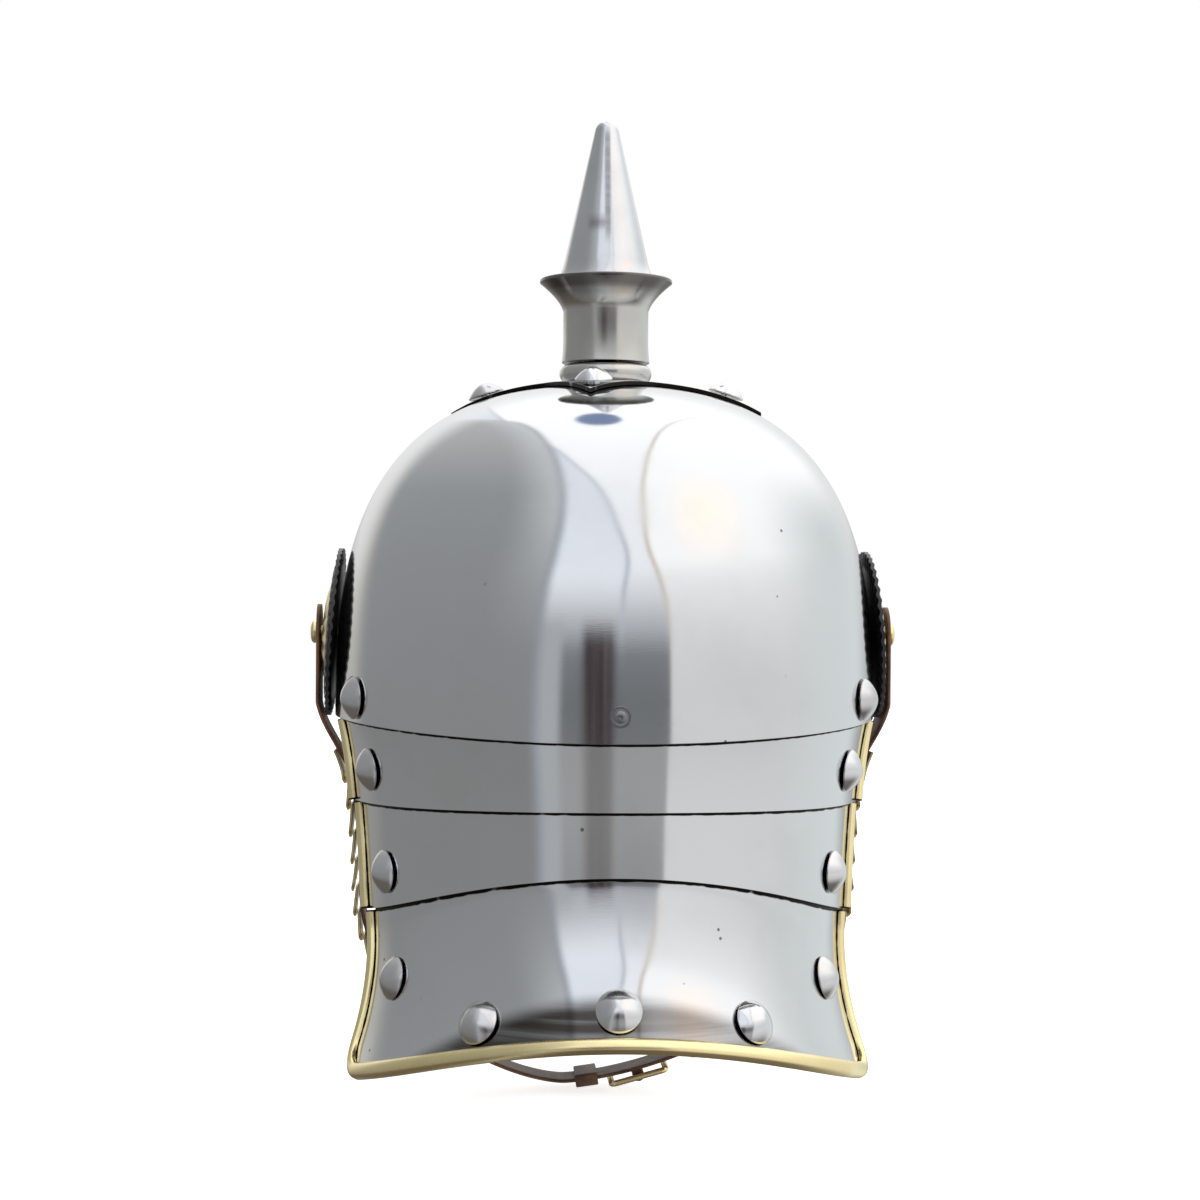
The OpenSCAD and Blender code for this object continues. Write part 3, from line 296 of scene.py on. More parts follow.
def tube(rows, start=None, end=None):
    """Closed surface through rings of points. Each end is a given point or the middle of its ring."""
    m, n = rows.shape[:2]
    start = rows[0].mean(0) if start is None else start
    end = rows[-1].mean(0) if end is None else end
    i = np.arange(n)
    on = (i + 1) % n
    last = (m - 1) * n
    fans = np.concatenate([np.stack([np.full(n, m * n), on, i], -1),
                           np.stack([last + i, last + on, np.full(n, m * n + 1)], -1)])
    points = np.concatenate([rows.reshape(-1, 3), [start], [end]])
    return solid(points, [grid_faces(m, n, wrap_cols=True), fans])


def lip(near, far, before, out):
    """Rows of a rounded edge from one face to the other: half an ellipse that stands out past the sheet."""
    middle, half, along = (near + far) / 2, (near - far) / 2, unit(near - before) * out
    return [middle + half * math.sin(a) + along * math.cos(a) for a in LIP_ANGLES]


def piece(name, part, material, body, node, sharp=32, marks=None):
    """Makes a mesh object in metres, at the origin, that rides on its body and stands for its CAD node.
    Marks are named values from 0 to 1 at its points, which its material reads."""
    points, faces = part
    mesh = bpy.data.meshes.new(name)
    mesh.from_pydata((points * MM).tolist(), [], [face for group in faces for face in group.tolist()])
    mesh.shade_smooth()
    mesh.set_sharp_from_angle(angle=math.radians(sharp))
    for mark, values in (marks or {}).items():
        values = np.ravel(values).astype(np.float32)
        mesh.attributes.new(mark, "FLOAT", "POINT").data.foreach_set("value", values)
    mesh.materials.append(material)
    made = bpy.data.objects.new(name, mesh)
    bpy.context.scene.collection.objects.link(made)
    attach(made, body)
    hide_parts(node)


def dome_share(z, height):
    """Share of the full section at height z: (1 - (z/h)^n)^(1/n)."""
    return (1 - np.clip(z / height, 0, 1) ** DOME_N) ** (1 / DOME_N)


def bowl_edge(phi):
    """Height of the bowl's lower edge: level at the front, drooping with sin squared at the back."""
    return np.where(np.sin(phi) > 0, -SKULL_DROOP * np.sin(phi) ** 2, 0)


def bowl(phi, z, off=0):
    """Point of the bowl's outer face at an angle and a height, moved out along the normal by off."""
    share = dome_share(z, SKULL_H)
    depth = np.where(np.sin(phi) < 0, SKULL_FRONT, SKULL_BACK)
    p = np.stack([SKULL_W / 2 * share * np.cos(phi), depth * share * np.sin(phi), z + 0 * phi], -1)
    g = np.maximum(share, 1e-4) ** (DOME_N - 2)
    rise = np.clip(z / SKULL_H, 0, 1) ** (DOME_N - 1) / SKULL_H
    n = np.stack([g * p[..., 0] / (SKULL_W / 2) ** 2, g * p[..., 1] / depth ** 2, rise + 0 * phi], -1)
    return p + off * unit(n)


def around(count):
    """Angles of one full turn in equal steps."""
    return np.arange(count) * 2 * math.pi / count


phi = around(BOWL_COLUMNS)[None, :]
rise = np.arange(BOWL_ROWS)[:, None] / BOWL_ROWS
z = mix(bowl_edge(phi), SKULL_H, np.sin(rise * math.pi / 2) ** (2 / DOME_N))
outer, inner = bowl(phi, z), bowl(phi, z, -PLATE_T)
bowl_rows = np.array([*inner[::-1], *lip(inner[0], outer[0], inner[1], 0.2), *outer])
bowl_solid = tube(bowl_rows, [0, 0, SKULL_H - PLATE_T], [0, 0, SKULL_H])


def worn_metal_group():
    """Shader group for bare metal: cloudy tarnish, fine buffing marks and sparse round pits. Where a piece is
    marked so, streaky darkening with painted shade and a painted dark reflection, and seam dirt with painted
    shadow, are added."""
    tree = bpy.data.node_groups.new("worn_metal", "ShaderNodeTree")
    sockets = tree.interface
    for name, kind, value in (
            ("Metal", "Color", (0.6, 0.6, 0.6, 1)), ("Tarnish", "Color", (0.3, 0.25, 0.2, 1)),
            ("Cloudiness", "Float", 0.2), ("Smooth", "Float", 0.12), ("Rough", "Float", 0.3),
            ("Pits", "Float", 1.0), ("Grain", "Float", 1.0)):
        sockets.new_socket(name, in_out="INPUT", socket_type=f"NodeSocket{kind}").default_value = value
    for name, kind in (("Color", "Color"), ("Roughness", "Float"), ("Normal", "Vector")):
        sockets.new_socket(name, in_out="OUTPUT", socket_type=f"NodeSocket{kind}")
    given = tree.nodes.new("NodeGroupInput").outputs
    place = add(tree, "ShaderNodeTexCoord").outputs["Object"]

    patch = ramp(tree, noise(tree, place, 22.0, 5.0, Roughness=0.6), 0.42, 0.75)
    colour = mixed(tree, times(tree, patch, given["Cloudiness"]), given["Metal"], given["Tarnish"])

    buffed = add(tree, "ShaderNodeMapping", {"Vector": place, "Scale": (260.0, 260.0, 2600.0)}).outputs[0]
    buff = noise(tree, buffed, 1.0, 3.0)

    cells = add(tree, "ShaderNodeTexVoronoi", {"Vector": place, "Scale": 62.0}, feature="F1").outputs
    chosen = add(tree, "ShaderNodeSeparateColor", {0: cells["Color"]}).outputs[0]
    near = maths(tree, "SUBTRACT", 1.0, ramp(tree, cells["Distance"], 0.02, 0.045))
    pit = times(tree, near, ramp(tree, chosen, 0.62, 0.66))
    pit = maths(tree, "MULTIPLY", pit, given["Pits"], clamp=True)
    colour = mixed(tree, times(tree, pit, 0.75), colour, (0.05, 0.04, 0.035, 1))

    # Haze mark: streaky darkening, used as a painted dark reflection along the lowest plate's rim and as
    # painted shade under the spike's collar.
    drawn = add(tree, "ShaderNodeMapping", {"Vector": place, "Scale": (14.0, 14.0, 330.0)}).outputs[0]
    streak = ramp(tree, noise(tree, drawn, 1.0, 3.0), 0.2, 0.6)
    haze = add(tree, "ShaderNodeAttribute", attribute_name="haze").outputs["Fac"]
    haze = times(tree, haze, linear(tree, streak, 0.35, 0.65))
    colour = mixed(tree, haze, colour, (0.072, 0.062, 0.057, 1))

    # Seam mark: near-black dirt and painted shadow, under the edge of the plate above and under the cross
    # plate.
    seam = add(tree, "ShaderNodeAttribute", attribute_name="seam").outputs["Fac"]
    seam = ramp(tree, times(tree, seam, linear(tree, noise(tree, place, 240.0, 1.0), 1.4, 0.3)), 0.35, 0.75)
    colour = mixed(tree, seam, colour, (0.012, 0.01, 0.009, 1))

    wear = maths(tree, "ADD", times(tree, patch, 0.6), times(tree, buff, 0.4))
    rough = add(tree, "ShaderNodeMapRange", {"Value": wear, "From Min": 0.1, "From Max": 0.9,
                                             "To Min": given["Smooth"], "To Max": given["Rough"]}).outputs[0]
    rough = maths(tree, "ADD", rough, times(tree, maths(tree, "MAXIMUM", pit, seam), 0.4))
    height = maths(tree, "SUBTRACT", times(tree, times(tree, buff, given["Grain"]), 0.1), pit)
    normal = add(tree, "ShaderNodeBump", {"Height": height, "Strength": 0.12, "Distance": 0.0004}).outputs[0]
    add(tree, "NodeGroupOutput", {"Color": colour, "Roughness": rough, "Normal": normal})
    return tree


worn_metal = worn_metal_group()


def metal(name, colour, tarnish, cloudiness, smooth_to, rough_to, pits=1.0, grain=1.0, metallic=1.0):
    """Metal, or lacquer where metallic is 0, with the worn-metal group's colour, roughness and marks."""
    made, tree = empty_material(name)
    worn = add(tree, "ShaderNodeGroup", node_tree=worn_metal)
    for key, value in (("Metal", (*colour, 1)), ("Tarnish", (*tarnish, 1)), ("Cloudiness", cloudiness),
                       ("Smooth", smooth_to), ("Rough", rough_to), ("Pits", pits), ("Grain", grain)):
        worn.inputs[key].default_value = value
    shader = add(tree, "ShaderNodeBsdfPrincipled", {
        "Base Color": worn.outputs["Color"], "Metallic": metallic,
        "Roughness": worn.outputs["Roughness"], "Normal": worn.outputs["Normal"]})
    add(tree, "ShaderNodeOutputMaterial", {"Surface": shader.outputs[0]})
    return made


polished_steel = metal("polished_steel", (0.70, 0.71, 0.72), (0.42, 0.39, 0.36),
                       0.12, 0.07, 0.16)
piece("bowl", bowl_solid, polished_steel, "helmet", "skull")


# Neck plates: three curved steel plates, each tucked under the one above and drawn in with the
# neck. The lowest flares out to a rim with rounded corners. The sheet is the bowl's, dirt and painted
# shadow line the seams, and a painted dark reflection lies along the rim. A plate's hidden upper part
# is narrower, to clear the edging above.
PLATE_STEP = PLATE_T + 0.8
NECK_DRAW_SIDE, NECK_FADE = 5, 22
NECK_DRAW_BACK, BACK_FADE = 6, 30
EDGE_ANGLE, EDGE_LEAN = 11.5, 0.1
LOW_MID, LOW_SIDE = (-4, -26, -47, -98), (-4, 2.5, 18, 23)
TOP_MID, TOP_SIDE = (0, 14, -14, -35), (0, 5, 6, -8)
EDGE_TYPICAL = math.radians(EDGE_ANGLE + 6)
LIP_ROWS = len(LIP_ANGLES)
TUCK_INSET, END_GAP, TUCK_STEP = 5, 0.85, 0.4
FLARE_H, FLARE_BACK, FLARE_SIDE = 50, 20, 12
LEAN_SHARE, LEAN_SOFT = 0.5, 0.02
CORNER_R, CORNER_ANGLES = 11, np.radians(np.arange(0, 90, 6))
PLATE_COLUMNS, FACE_ROWS, TUCK_ROWS = 161, 41, 9
SEEN_ROWS = {1: FACE_ROWS, 2: FACE_ROWS, 3: FACE_ROWS + len(CORNER_ANGLES)}
END_DIRT_AND_SHADE = 1.3
RIM_SHADE_X, RIM_SHADE_HALF, RIM_SHADE_H, RIM_SHADE_SOFT = 2, 70, 14, 3
RIM_SHADE_RIGHT, RIM_SHADE_TURN = 0.72, (-14, 2)


def smooth(value):
    """Smooth step from 0 to 1."""
    c = np.clip(value, 0, 1)
    return c * c * (3 - 2 * c)


def side_share(phi):
    """Share of the drop of an edge towards the sides: the cosine squared, 1 about 22 degrees off the ears."""
    return (np.cos(phi) / 0.93) ** 2


def low_edge(k, phi):
    """Height of plate k's lower edge."""
    return LOW_MID[k] - LOW_SIDE[k] * side_share(phi) if k else bowl_edge(phi)


def top_edge(k, phi):
    """Height of plate k's hidden upper edge."""
    return TOP_MID[k] + TOP_SIDE[k] * side_share(phi)


def half_width(z):
    """Half the neck's width, drawing in exponentially below the ears."""
    return SKULL_W / 2 - NECK_DRAW_SIDE * (1 - np.exp(np.minimum(z, 0) / NECK_FADE))


def half_depth(z):
    """Depth of the neck behind the axis, drawing in exponentially below the ears."""
    return SKULL_BACK - NECK_DRAW_BACK * (1 - np.exp(np.minimum(z, 0) / BACK_FADE))


def flare(k, low, z):
    """Square-law flare of the lowest plate above its lower edge."""
    return np.clip(1 - (z - low) / FLARE_H, 0, None) ** 2 if k == 3 else 0 * z


def backward(f):
    """The flare's share of its reach to the back: half a straight lean with a soft start, half a cube law."""
    lean = (np.sqrt(f + LEAN_SOFT ** 2) - LEAN_SOFT) / (math.hypot(1, LEAN_SOFT) - LEAN_SOFT)
    return mix(f ** 1.5, lean, LEAN_SHARE)


def skin(k, phi, z):
    """Point of plate k's outer face: the neck's oval, one plate step in for each plate, plus the flare."""
    if k == 0:
        return bowl(phi, z)
    d = -k * PLATE_STEP
    share = dome_share(z, SKULL_H + d)
    f = flare(k, low_edge(3, phi), z)
    x = (half_width(z) + d) * share + FLARE_SIDE * f
    y = (half_depth(z) + d) * share + FLARE_BACK * backward(f)
    return np.stack([x * np.cos(phi), y * np.sin(phi), z + 0 * phi], -1)


def skin_normal(k, phi, z):
    """Outward normal of that face, from the cross product of its two tangents."""
    a, dz = math.radians(0.2), 0.2
    along, upwards = skin(k, phi + a, z) - skin(k, phi - a, z), skin(k, phi, z + dz) - skin(k, phi, z - dz)
    return unit(np.cross(along, upwards))


def sheet(outer, inner, wrap=False, out=0.3):
    """Closed sheet between two grids of points, rows from low to high, with both its edges rounded."""
    m, n = outer.shape[:2]
    rows = np.array([*outer, *lip(outer[-1], inner[-1], outer[-2], out), *inner[::-1],
                     *lip(inner[0], outer[0], inner[1], out)])
    faces = [grid_faces(len(rows), n, wrap_rows=True, wrap_cols=wrap)]
    if not wrap:
        j, last = np.arange(m - 1), 2 * m + LIP_ROWS - 1
        for col, turn in ((0, 1), (n - 1, -1)):
            side = np.stack([j, j + 1, last - 1 - j, last - j], -1) * n + col
            top = np.arange(m - 1, m + LIP_ROWS + 1)[None] * n + col
            low = np.append(np.arange(last, last + LIP_ROWS + 1), 0)[None] * n + col
            faces += [group[:, ::turn] for group in (side, top, low)]
    return solid(rows, faces)


def side_angle(z, inset=0.0):
    """Angle of the side edges from the ear line, leaning back as they drop, plus an inset in millimetres."""
    return np.radians(EDGE_ANGLE - EDGE_LEAN * z) + inset / (SKULL_BACK * math.cos(EDGE_TYPICAL))


def plate_grid(k):
    """Angles and heights of plate k's outer face: rounded corners, the seen part, then the tucked part."""
    def steps(phi):
        low, shoulder, top = low_edge(k, phi), low_edge(k - 1, phi) - END_GAP, top_edge(k, phi)
        foot = low + CORNER_R if k == 3 else low
        corner = [(low + CORNER_R * (1 - math.cos(a)), CORNER_R * (1 - math.sin(a))) for a in CORNER_ANGLES]
        face = [(mix(foot, shoulder, s), 0) for s in np.linspace(0, 1, FACE_ROWS)]
        tuck = [(mix(shoulder + TUCK_STEP, top, s), TUCK_INSET) for s in np.linspace(0, 1, TUCK_ROWS)]
        return (corner if k == 3 else []) + face + tuck
    sides = [side_angle(*step) for step in steps(EDGE_TYPICAL)]
    phi = np.array([mix(s, math.pi - s, np.linspace(0, 1, PLATE_COLUMNS)) for s in sides])
    z = np.array([steps(line)[j][0] for j, line in enumerate(phi)])
    return phi, z


plates = {}
for k in (1, 2, 3):
    phi, z = plate_grid(k)
    face, normal = skin(k, phi, z), skin_normal(k, phi, z)
    plates[k] = (face, normal)
    plate = sheet(face, face - PLATE_T * normal, out=0.15)
    # Seam mark: dirt and painted shadow on the strip just under the plate above, and on the side ends beside
    # it.
    seam, haze = np.zeros((2, len(plate[0]) // PLATE_COLUMNS, PLATE_COLUMNS))
    shoulder = SEEN_ROWS[k] - 1
    seam[shoulder:len(face) + LIP_ROWS] = 1
    side_z = plate[0][:, 2].reshape(seam.shape)[:, [0, -1]]
    seam[:, [0, -1]] = np.maximum(seam[:, [0, -1]], np.abs(side_z - face[shoulder, 0, 2]) < END_DIRT_AND_SHADE)
    # Rim mark: a painted dark reflection in a band along the rim, lighter at negative x.
    if k == 3:
        x, above = face[..., 0], z - low_edge(3, phi)
        rim_shade_top = RIM_SHADE_H * (1 - ((x - RIM_SHADE_X) / RIM_SHADE_HALF) ** 2)
        haze[:len(face)] = smooth((rim_shade_top - above + RIM_SHADE_SOFT) / (2 * RIM_SHADE_SOFT)) * mix(
            RIM_SHADE_RIGHT, 1, smooth((x - RIM_SHADE_TURN[0]) / (RIM_SHADE_TURN[1] - RIM_SHADE_TURN[0])))
    piece(f"neck_plate_{k}", plate, polished_steel, f"neck_plate_{k}", f"lame_{k}",
          marks={"seam": seam, "haze": haze})


# Brass edging: a strip of brass folded over the side edges of every neck plate, and carried round
# the corners and the rim of the lowest one. Its outer face is rounded, its inner leg lies flat.
BEAD_W, BEAD_OUT, BEAD_IN, BEAD_WRAP, BEAD_PLAY = 4, 2.4, 0.5, 1, 0.1


def edging_section():
    """Closed section (u into the plate, v outwards): a flattened half-ellipse over the edge, then a flat leg
    that is folded back inside."""
    a = np.radians(np.linspace(0, 180, 25))
    mid, half = (BEAD_W - BEAD_WRAP) / 2, (BEAD_W + BEAD_WRAP) / 2
    crown = np.stack([mid + half * np.cos(a), BEAD_PLAY + (BEAD_OUT - BEAD_PLAY) * np.sin(a) ** 0.7], -1)
    base, leg, inside = -PLATE_T - BEAD_IN, 0.9 * BEAD_W, -PLATE_T - BEAD_PLAY
    turn = [[-BEAD_WRAP, -PLATE_T / 2], [-BEAD_WRAP * 0.9, -PLATE_T * 0.9], [-BEAD_WRAP * 0.5, base],
            [leg, base], [leg, inside], [-BEAD_PLAY, inside], [-BEAD_PLAY, BEAD_PLAY]]
    return np.concatenate([crown, turn])


def on_plate(k, p):
    """Nearest point and normal of plate k, from a point close to it, by its angle on the section's oval."""
    z, d = p[..., 2], -k * PLATE_STEP
    f = flare(k, low_edge(3, math.pi / 2), z)
    width, depth = half_width(z) + d + FLARE_SIDE * f, half_depth(z) + d + FLARE_BACK * backward(f)
    angle = np.arctan2(p[..., 1] / depth, p[..., 0] / width)
    return skin(k, angle, z), skin_normal(k, angle, z)


def edging(edge, normal, inner, inner_normal):
    """The section carried along an edge: u runs from the edge to a line further in, v along the normals."""
    section = edging_section()
    share = (section[:, 0] / BEAD_W)[None, :, None]
    out = unit(mix(normal[:, None], inner_normal[:, None], share))
    return tube(mix(edge[:, None], inner[:, None], share) + section[:, 1][None, :, None] * out)


def edging_dirt_and_shade(part):
    """Mark of an edging's darkening: dirt and painted shade along the line where it meets the plate, and
    painted shadow on its two ends.
    """
    section, points = len(edging_section()), len(part[0])
    seam = np.interp(np.arange(points) % section, (0, 1), (1, 0))
    seam[:section] = seam[points - 2 - section:] = 1
    return seam


def plate_edging(k, edge, normal):
    """Edging along a path on plate k, with the plate on the path's left."""
    along = unit(np.gradient(edge, axis=0))
    inner, inner_normal = on_plate(k, edge + BEAD_W * unit(np.cross(normal, along)))
    return edging(edge, normal, inner, inner_normal)


def joined(solids):
    """Several separate solids as one set of points and faces."""
    points, faces, first = [], [], 0
    for p, groups in solids:
        points.append(p)
        faces += [group + first for group in groups]
        first += len(p)
    return np.concatenate(points), faces


def mirrored(part):
    """The same solid on the other side of the helmet."""
    return solid(part[0] * [-1, 1, 1], part[1])


def pair(part):
    """A solid and its mirror image."""
    return joined([part, mirrored(part)])


brass = metal("brass", (1.0, 0.85, 0.47), (0.62, 0.45, 0.20), 0.35, 0.2, 0.38, pits=0.4)
for k in (1, 2):
    strip = plate_edging(k, *[grid[SEEN_ROWS[k] - 1::-1, 0] for grid in plates[k]])
    seam = edging_dirt_and_shade(strip)
    piece(f"plate_{k}_edging", pair(strip), brass, f"neck_plate_{k}", f"lame_{k}_edging",
          marks={"seam": np.append(seam, seam)})
rim_path = [np.concatenate([grid[SEEN_ROWS[3] - 1:0:-1, 0], grid[0], grid[1:SEEN_ROWS[3], -1]])
            for grid in plates[3]]
rim = plate_edging(3, *rim_path)
piece("rim_edging", rim, brass, "neck_plate_3", "lame_3_edging", marks={"seam": edging_dirt_and_shade(rim)})


# Domed rivets: polished steel heads, turned like shallow cones with a rounded tip, on shanks that
# hold the plates together and are clinched over inside. A shadow gap is left under every head.
DOME_D, DOME_H, DOME_GAP = 14.6, 4.6, 0.5
SHANK_D = 4
CLINCH_D, CLINCH_T, CLINCH_GAP = 8, 1, 0.4
RIVET_ANGLE = (26, 27.5, 30.5, 34)
RIVET_Z = (7.5, -16.6, -50.8, -85.7)
RIM_RIVET_ANGLE, RIM_RIVET_UP, RIM_RIVET_OUT = 28, 10.5, 0.3
PIVOT_STACK = PLATE_T + PLATE_STEP + CLINCH_GAP
SINGLE_STACK, RIM_STACK = PLATE_T + 0.2, PLATE_T + 0.6


def lathe(*stretches, up=0, segments=64):
    """Closed solid turned from stretches of (radius, height) points, from one end of the axis to the other,
    and moved up."""
    profile = np.concatenate(stretches) + [0, up]
    a = around(segments)
    ring = profile[1:-1]
    rows = np.stack([ring[:, :1] * np.cos(a), ring[:, :1] * np.sin(a), ring[:, 1:] + 0 * a], -1)
    return tube(rows, [0, 0, profile[0, 1]], [0, 0, profile[-1, 1]])


def placed(part, origin, normal):
    """A part modelled along Z, set at a point with its Z axis along a direction."""
    n = unit(np.asarray(normal, float))
    x = unit(np.cross([0, 0, 1] if abs(n[2]) < 0.95 else [0, 1, 0], n))
    return solid(np.asarray(origin) + part[0] @ np.array([x, np.cross(n, x), n]), part[1])


def domed_rivet(width, stack):
    """Rivet through a stack of sheets: clinched end, shank, and a head between a cone and an ellipse."""
    r, c, s = width / 2, CLINCH_D / 2, SHANK_D / 2
    low = -stack - CLINCH_T
    share = np.sin(np.radians(np.linspace(0, 90, 22)))
    head_r = r * (0.55 * np.sqrt(1 - share ** 2) + 0.45 * (1 - share))
    head = np.stack([head_r, DOME_GAP + 0.5 + (DOME_H - 0.5) * share], -1)
    foot = [[0, low], [c - 0.9, low], [c - 0.25, low + 0.15], [c, low + 0.5], [c - 0.1, -stack], [s, -stack],
            [s, DOME_GAP], [r - 0.5, DOME_GAP], [r - 0.1, DOME_GAP + 0.1], [r, DOME_GAP + 0.3]]
    return lathe(foot, head)


def on_skin(part, k, degrees, z, out=0.0):
    """A part stood on plate k's outer face."""
    phi, z = np.array(math.radians(degrees)), np.array(float(z))
    n = skin_normal(k, phi, z)
    return placed(part, skin(k, phi, z) + out * n, n)


rivet_steel = metal("rivet_steel", (0.72, 0.72, 0.73), (0.30, 0.25, 0.20), 0.35, 0.12, 0.30,
                    pits=0.6)
for k, body, node in ((0, "helmet", "skull_pivot_rivets"), (1, "neck_plate_1", "lame_1_pivot_rivets"),
                      (2, "neck_plate_2", "lame_2_pivot_rivets")):
    rivet = on_skin(domed_rivet(DOME_D, PIVOT_STACK), k, RIVET_ANGLE[k], RIVET_Z[k])
    piece(node.replace("lame", "plate"), pair(rivet), rivet_steel, body, node)
rivet = on_skin(domed_rivet(DOME_D, SINGLE_STACK), 3, RIVET_ANGLE[3], RIVET_Z[3])
rim_rivets = [on_skin(domed_rivet(DOME_D, RIM_STACK), 3, angle,
                      low_edge(3, math.radians(angle)) + RIM_RIVET_UP, RIM_RIVET_OUT)
              for angle in (90 - RIM_RIVET_ANGLE, 90, 90 + RIM_RIVET_ANGLE)]
piece("rim_rivets", joined([pair(rivet), *rim_rivets]), rivet_steel, "neck_plate_3", "lame_3_rivets")


# Sliding rivet: a steel rivet set flush in the middle of the bowl's back edge, with a ring groove
# where its head was dressed. Its shank runs in the slot of the first neck plate.
SLIDE_Z, SLIDE_HEAD_D, SLIDE_STACK = 4.4, 7, PIVOT_STACK + 0.2
GROOVE_Z, GROOVE_DARK = -0.04, 0.8
head, shank, clinch = SLIDE_HEAD_D / 2, SHANK_D / 2, CLINCH_D / 2
low = -SLIDE_STACK - CLINCH_T
flush_rivet = lathe([
    [0, low], [clinch - 0.2, low], [clinch, low + 0.3], [clinch, -SLIDE_STACK], [shank, -SLIDE_STACK],
    [shank, -0.6], [head, -0.6], [head, -0.05], [head - 0.15, 0.05], [head - 0.8, 0.06], [head - 1.0, -0.22],
    [head - 1.35, -0.25], [head - 1.6, 0.05], [head - 1.9, 0.2], [0.7, 0.3], [0.5, 0.1], [0, 0.06]])
dull_steel = metal("dull_steel", (0.30, 0.30, 0.31), (0.12, 0.10, 0.09), 0.5, 0.25, 0.5)
# The ring groove is darkened through the seam mark.
piece("sliding_rivet", on_skin(flush_rivet, 0, 90, SLIDE_Z), dull_steel, "helmet", "sliding_rivet",
      marks={"seam": GROOVE_DARK * (flush_rivet[0][:, 2] < GROOVE_Z)})


# Cross plate: a star of steel sheet with four pointed arms, beaten to the crown's curve and held
# by a domed stud on each arm. It carries the spike's base and is turned a little on the bowl.
CROSS_REACH, CROSS_NOTCH, CROSS_TURN = 56, 28, -8
CROSS_T, CROSS_GAP = 1.4, 0.3
CROSS_TOP = CROSS_GAP + CROSS_T
STUD_R, STUD_HEAD_D = 42.5, 13
STUD_STACK, STUD_OUT = CROSS_TOP + PLATE_T + 0.6, CROSS_TOP + 0.15


def bowl_over(xy, off=0.0):
    """Point and normal over a place in plan, on the bowl's face moved out by off. The foot of the normal is
    found by steps."""
    foot = xy.copy()
    for _ in range(8):
        depth = np.where(foot[..., 1] < 0, SKULL_FRONT, SKULL_BACK)
        size = np.stack([np.full(depth.shape, SKULL_W / 2), depth], -1)
        share = np.clip(np.linalg.norm(foot / size, axis=-1), 1e-6, 0.999)
        z = SKULL_H * (1 - share ** DOME_N) ** (1 / DOME_N)
        level = (share ** (DOME_N - 2))[..., None] * foot / size ** 2
        upright = (z / SKULL_H) ** (DOME_N - 1) / SKULL_H
        n = unit(np.concatenate([level, upright[..., None]], -1))
        foot = xy - off * n[..., :2]
    return np.concatenate([foot, z[..., None]], -1) + off * n, n


corner = np.arange(8)
reach = np.where(corner % 2 == 0, CROSS_REACH, CROSS_NOTCH)
angle = np.radians(45.0 * corner + 90 + CROSS_TURN)
tips = np.stack([reach * np.cos(angle), reach * np.sin(angle)], -1)
side = np.linspace(0, 1, 25)[:-1, None]
star = np.concatenate([mix(tips[c], tips[(c + 1) % 8], side) for c in range(8)])
share = np.linspace(0.04, 1, 46)[:, None, None]
top, under = (bowl_over(share * star, off)[0][::-1] for off in (CROSS_TOP, CROSS_GAP))
edge = lip(under[0], top[0], under[1], 0.12)
cross = tube(np.array([*under[::-1], *edge, *top]))
# The underside and the cut edge carry the seam mark: a painted shadow that makes the gap under the plate read
# as a thick dark line.
hidden = (len(under) + len(edge)) * len(star)
piece("cross_plate", cross, polished_steel, "helmet", "cross_plate",
      marks={"seam": np.arange(len(cross[0])) < hidden})

stud = domed_rivet(STUD_HEAD_D, STUD_STACK)
studs = []
for arm in range(4):
    a = math.radians(90 * arm + 90 + CROSS_TURN)
    point, normal = bowl_over(STUD_R * np.array([[math.cos(a), math.sin(a)]]))
    studs.append(placed(stud, point[0] + STUD_OUT * normal[0], normal[0]))
piece("cross_plate_studs", joined(studs), rivet_steel, "helmet", "cross_plate_studs")


# Base ring and spike: a half-round ring, a turned neck with a trumpet-shaped collar that has painted
# shade under its rim, and a cone that stands in it, with a darker streak and a darker spot on its back.
# All are drawn on to the crown by a threaded stud.
RING_R, RING_H = 16.6, 7
NECK_R, NECK_H, NECK_FOOT_H = 15.3, 18, 9
COLLAR_R, COLLAR_H, COLLAR_T, COLLAR_LIP = 23.8, 12, 1.2, 0.35
TRUMPET = 1.6
CONE_R, FOOT_R, CONE_H, TIP_R = 15, 18.4, 59, 4.4
CONE_FOOT_H, CONE_FOOT_POWER = 8, 2.4
SPIKE_GAP = 0.4
RING_Z = SKULL_H + CROSS_TOP + 0.1
NECK_Z = RING_Z + RING_H + SPIKE_GAP
RIM_UP = NECK_H + COLLAR_H
SEAT_UP = RIM_UP - COLLAR_T - COLLAR_LIP
CONE_Z = NECK_Z + SEAT_UP

spike_steel = metal("spike_steel", (0.68, 0.69, 0.71), (0.40, 0.36, 0.32), 0.3, 0.14, 0.28,
                    pits=0.4, grain=1.4)
neck_steel = metal("neck_steel", (0.60, 0.59, 0.56), (0.34, 0.30, 0.25), 0.4, 0.15, 0.30,
                   pits=0.6)


def arc(x, y, across, upwards, start, stop, count):
    """Points of an ellipse round (x, y), between two angles in degrees."""
    a = np.radians(np.linspace(start, stop, count))
    return np.stack([x + across * np.cos(a), y + upwards * np.sin(a)], -1)


r = RING_H / 2
ring = lathe([[0, 0]], arc(RING_R - r, r, r, r, -84, 84, 33), [[0, RING_H]], up=RING_Z, segments=128)
piece("base_ring", ring, neck_steel, "helmet", "base_ring")

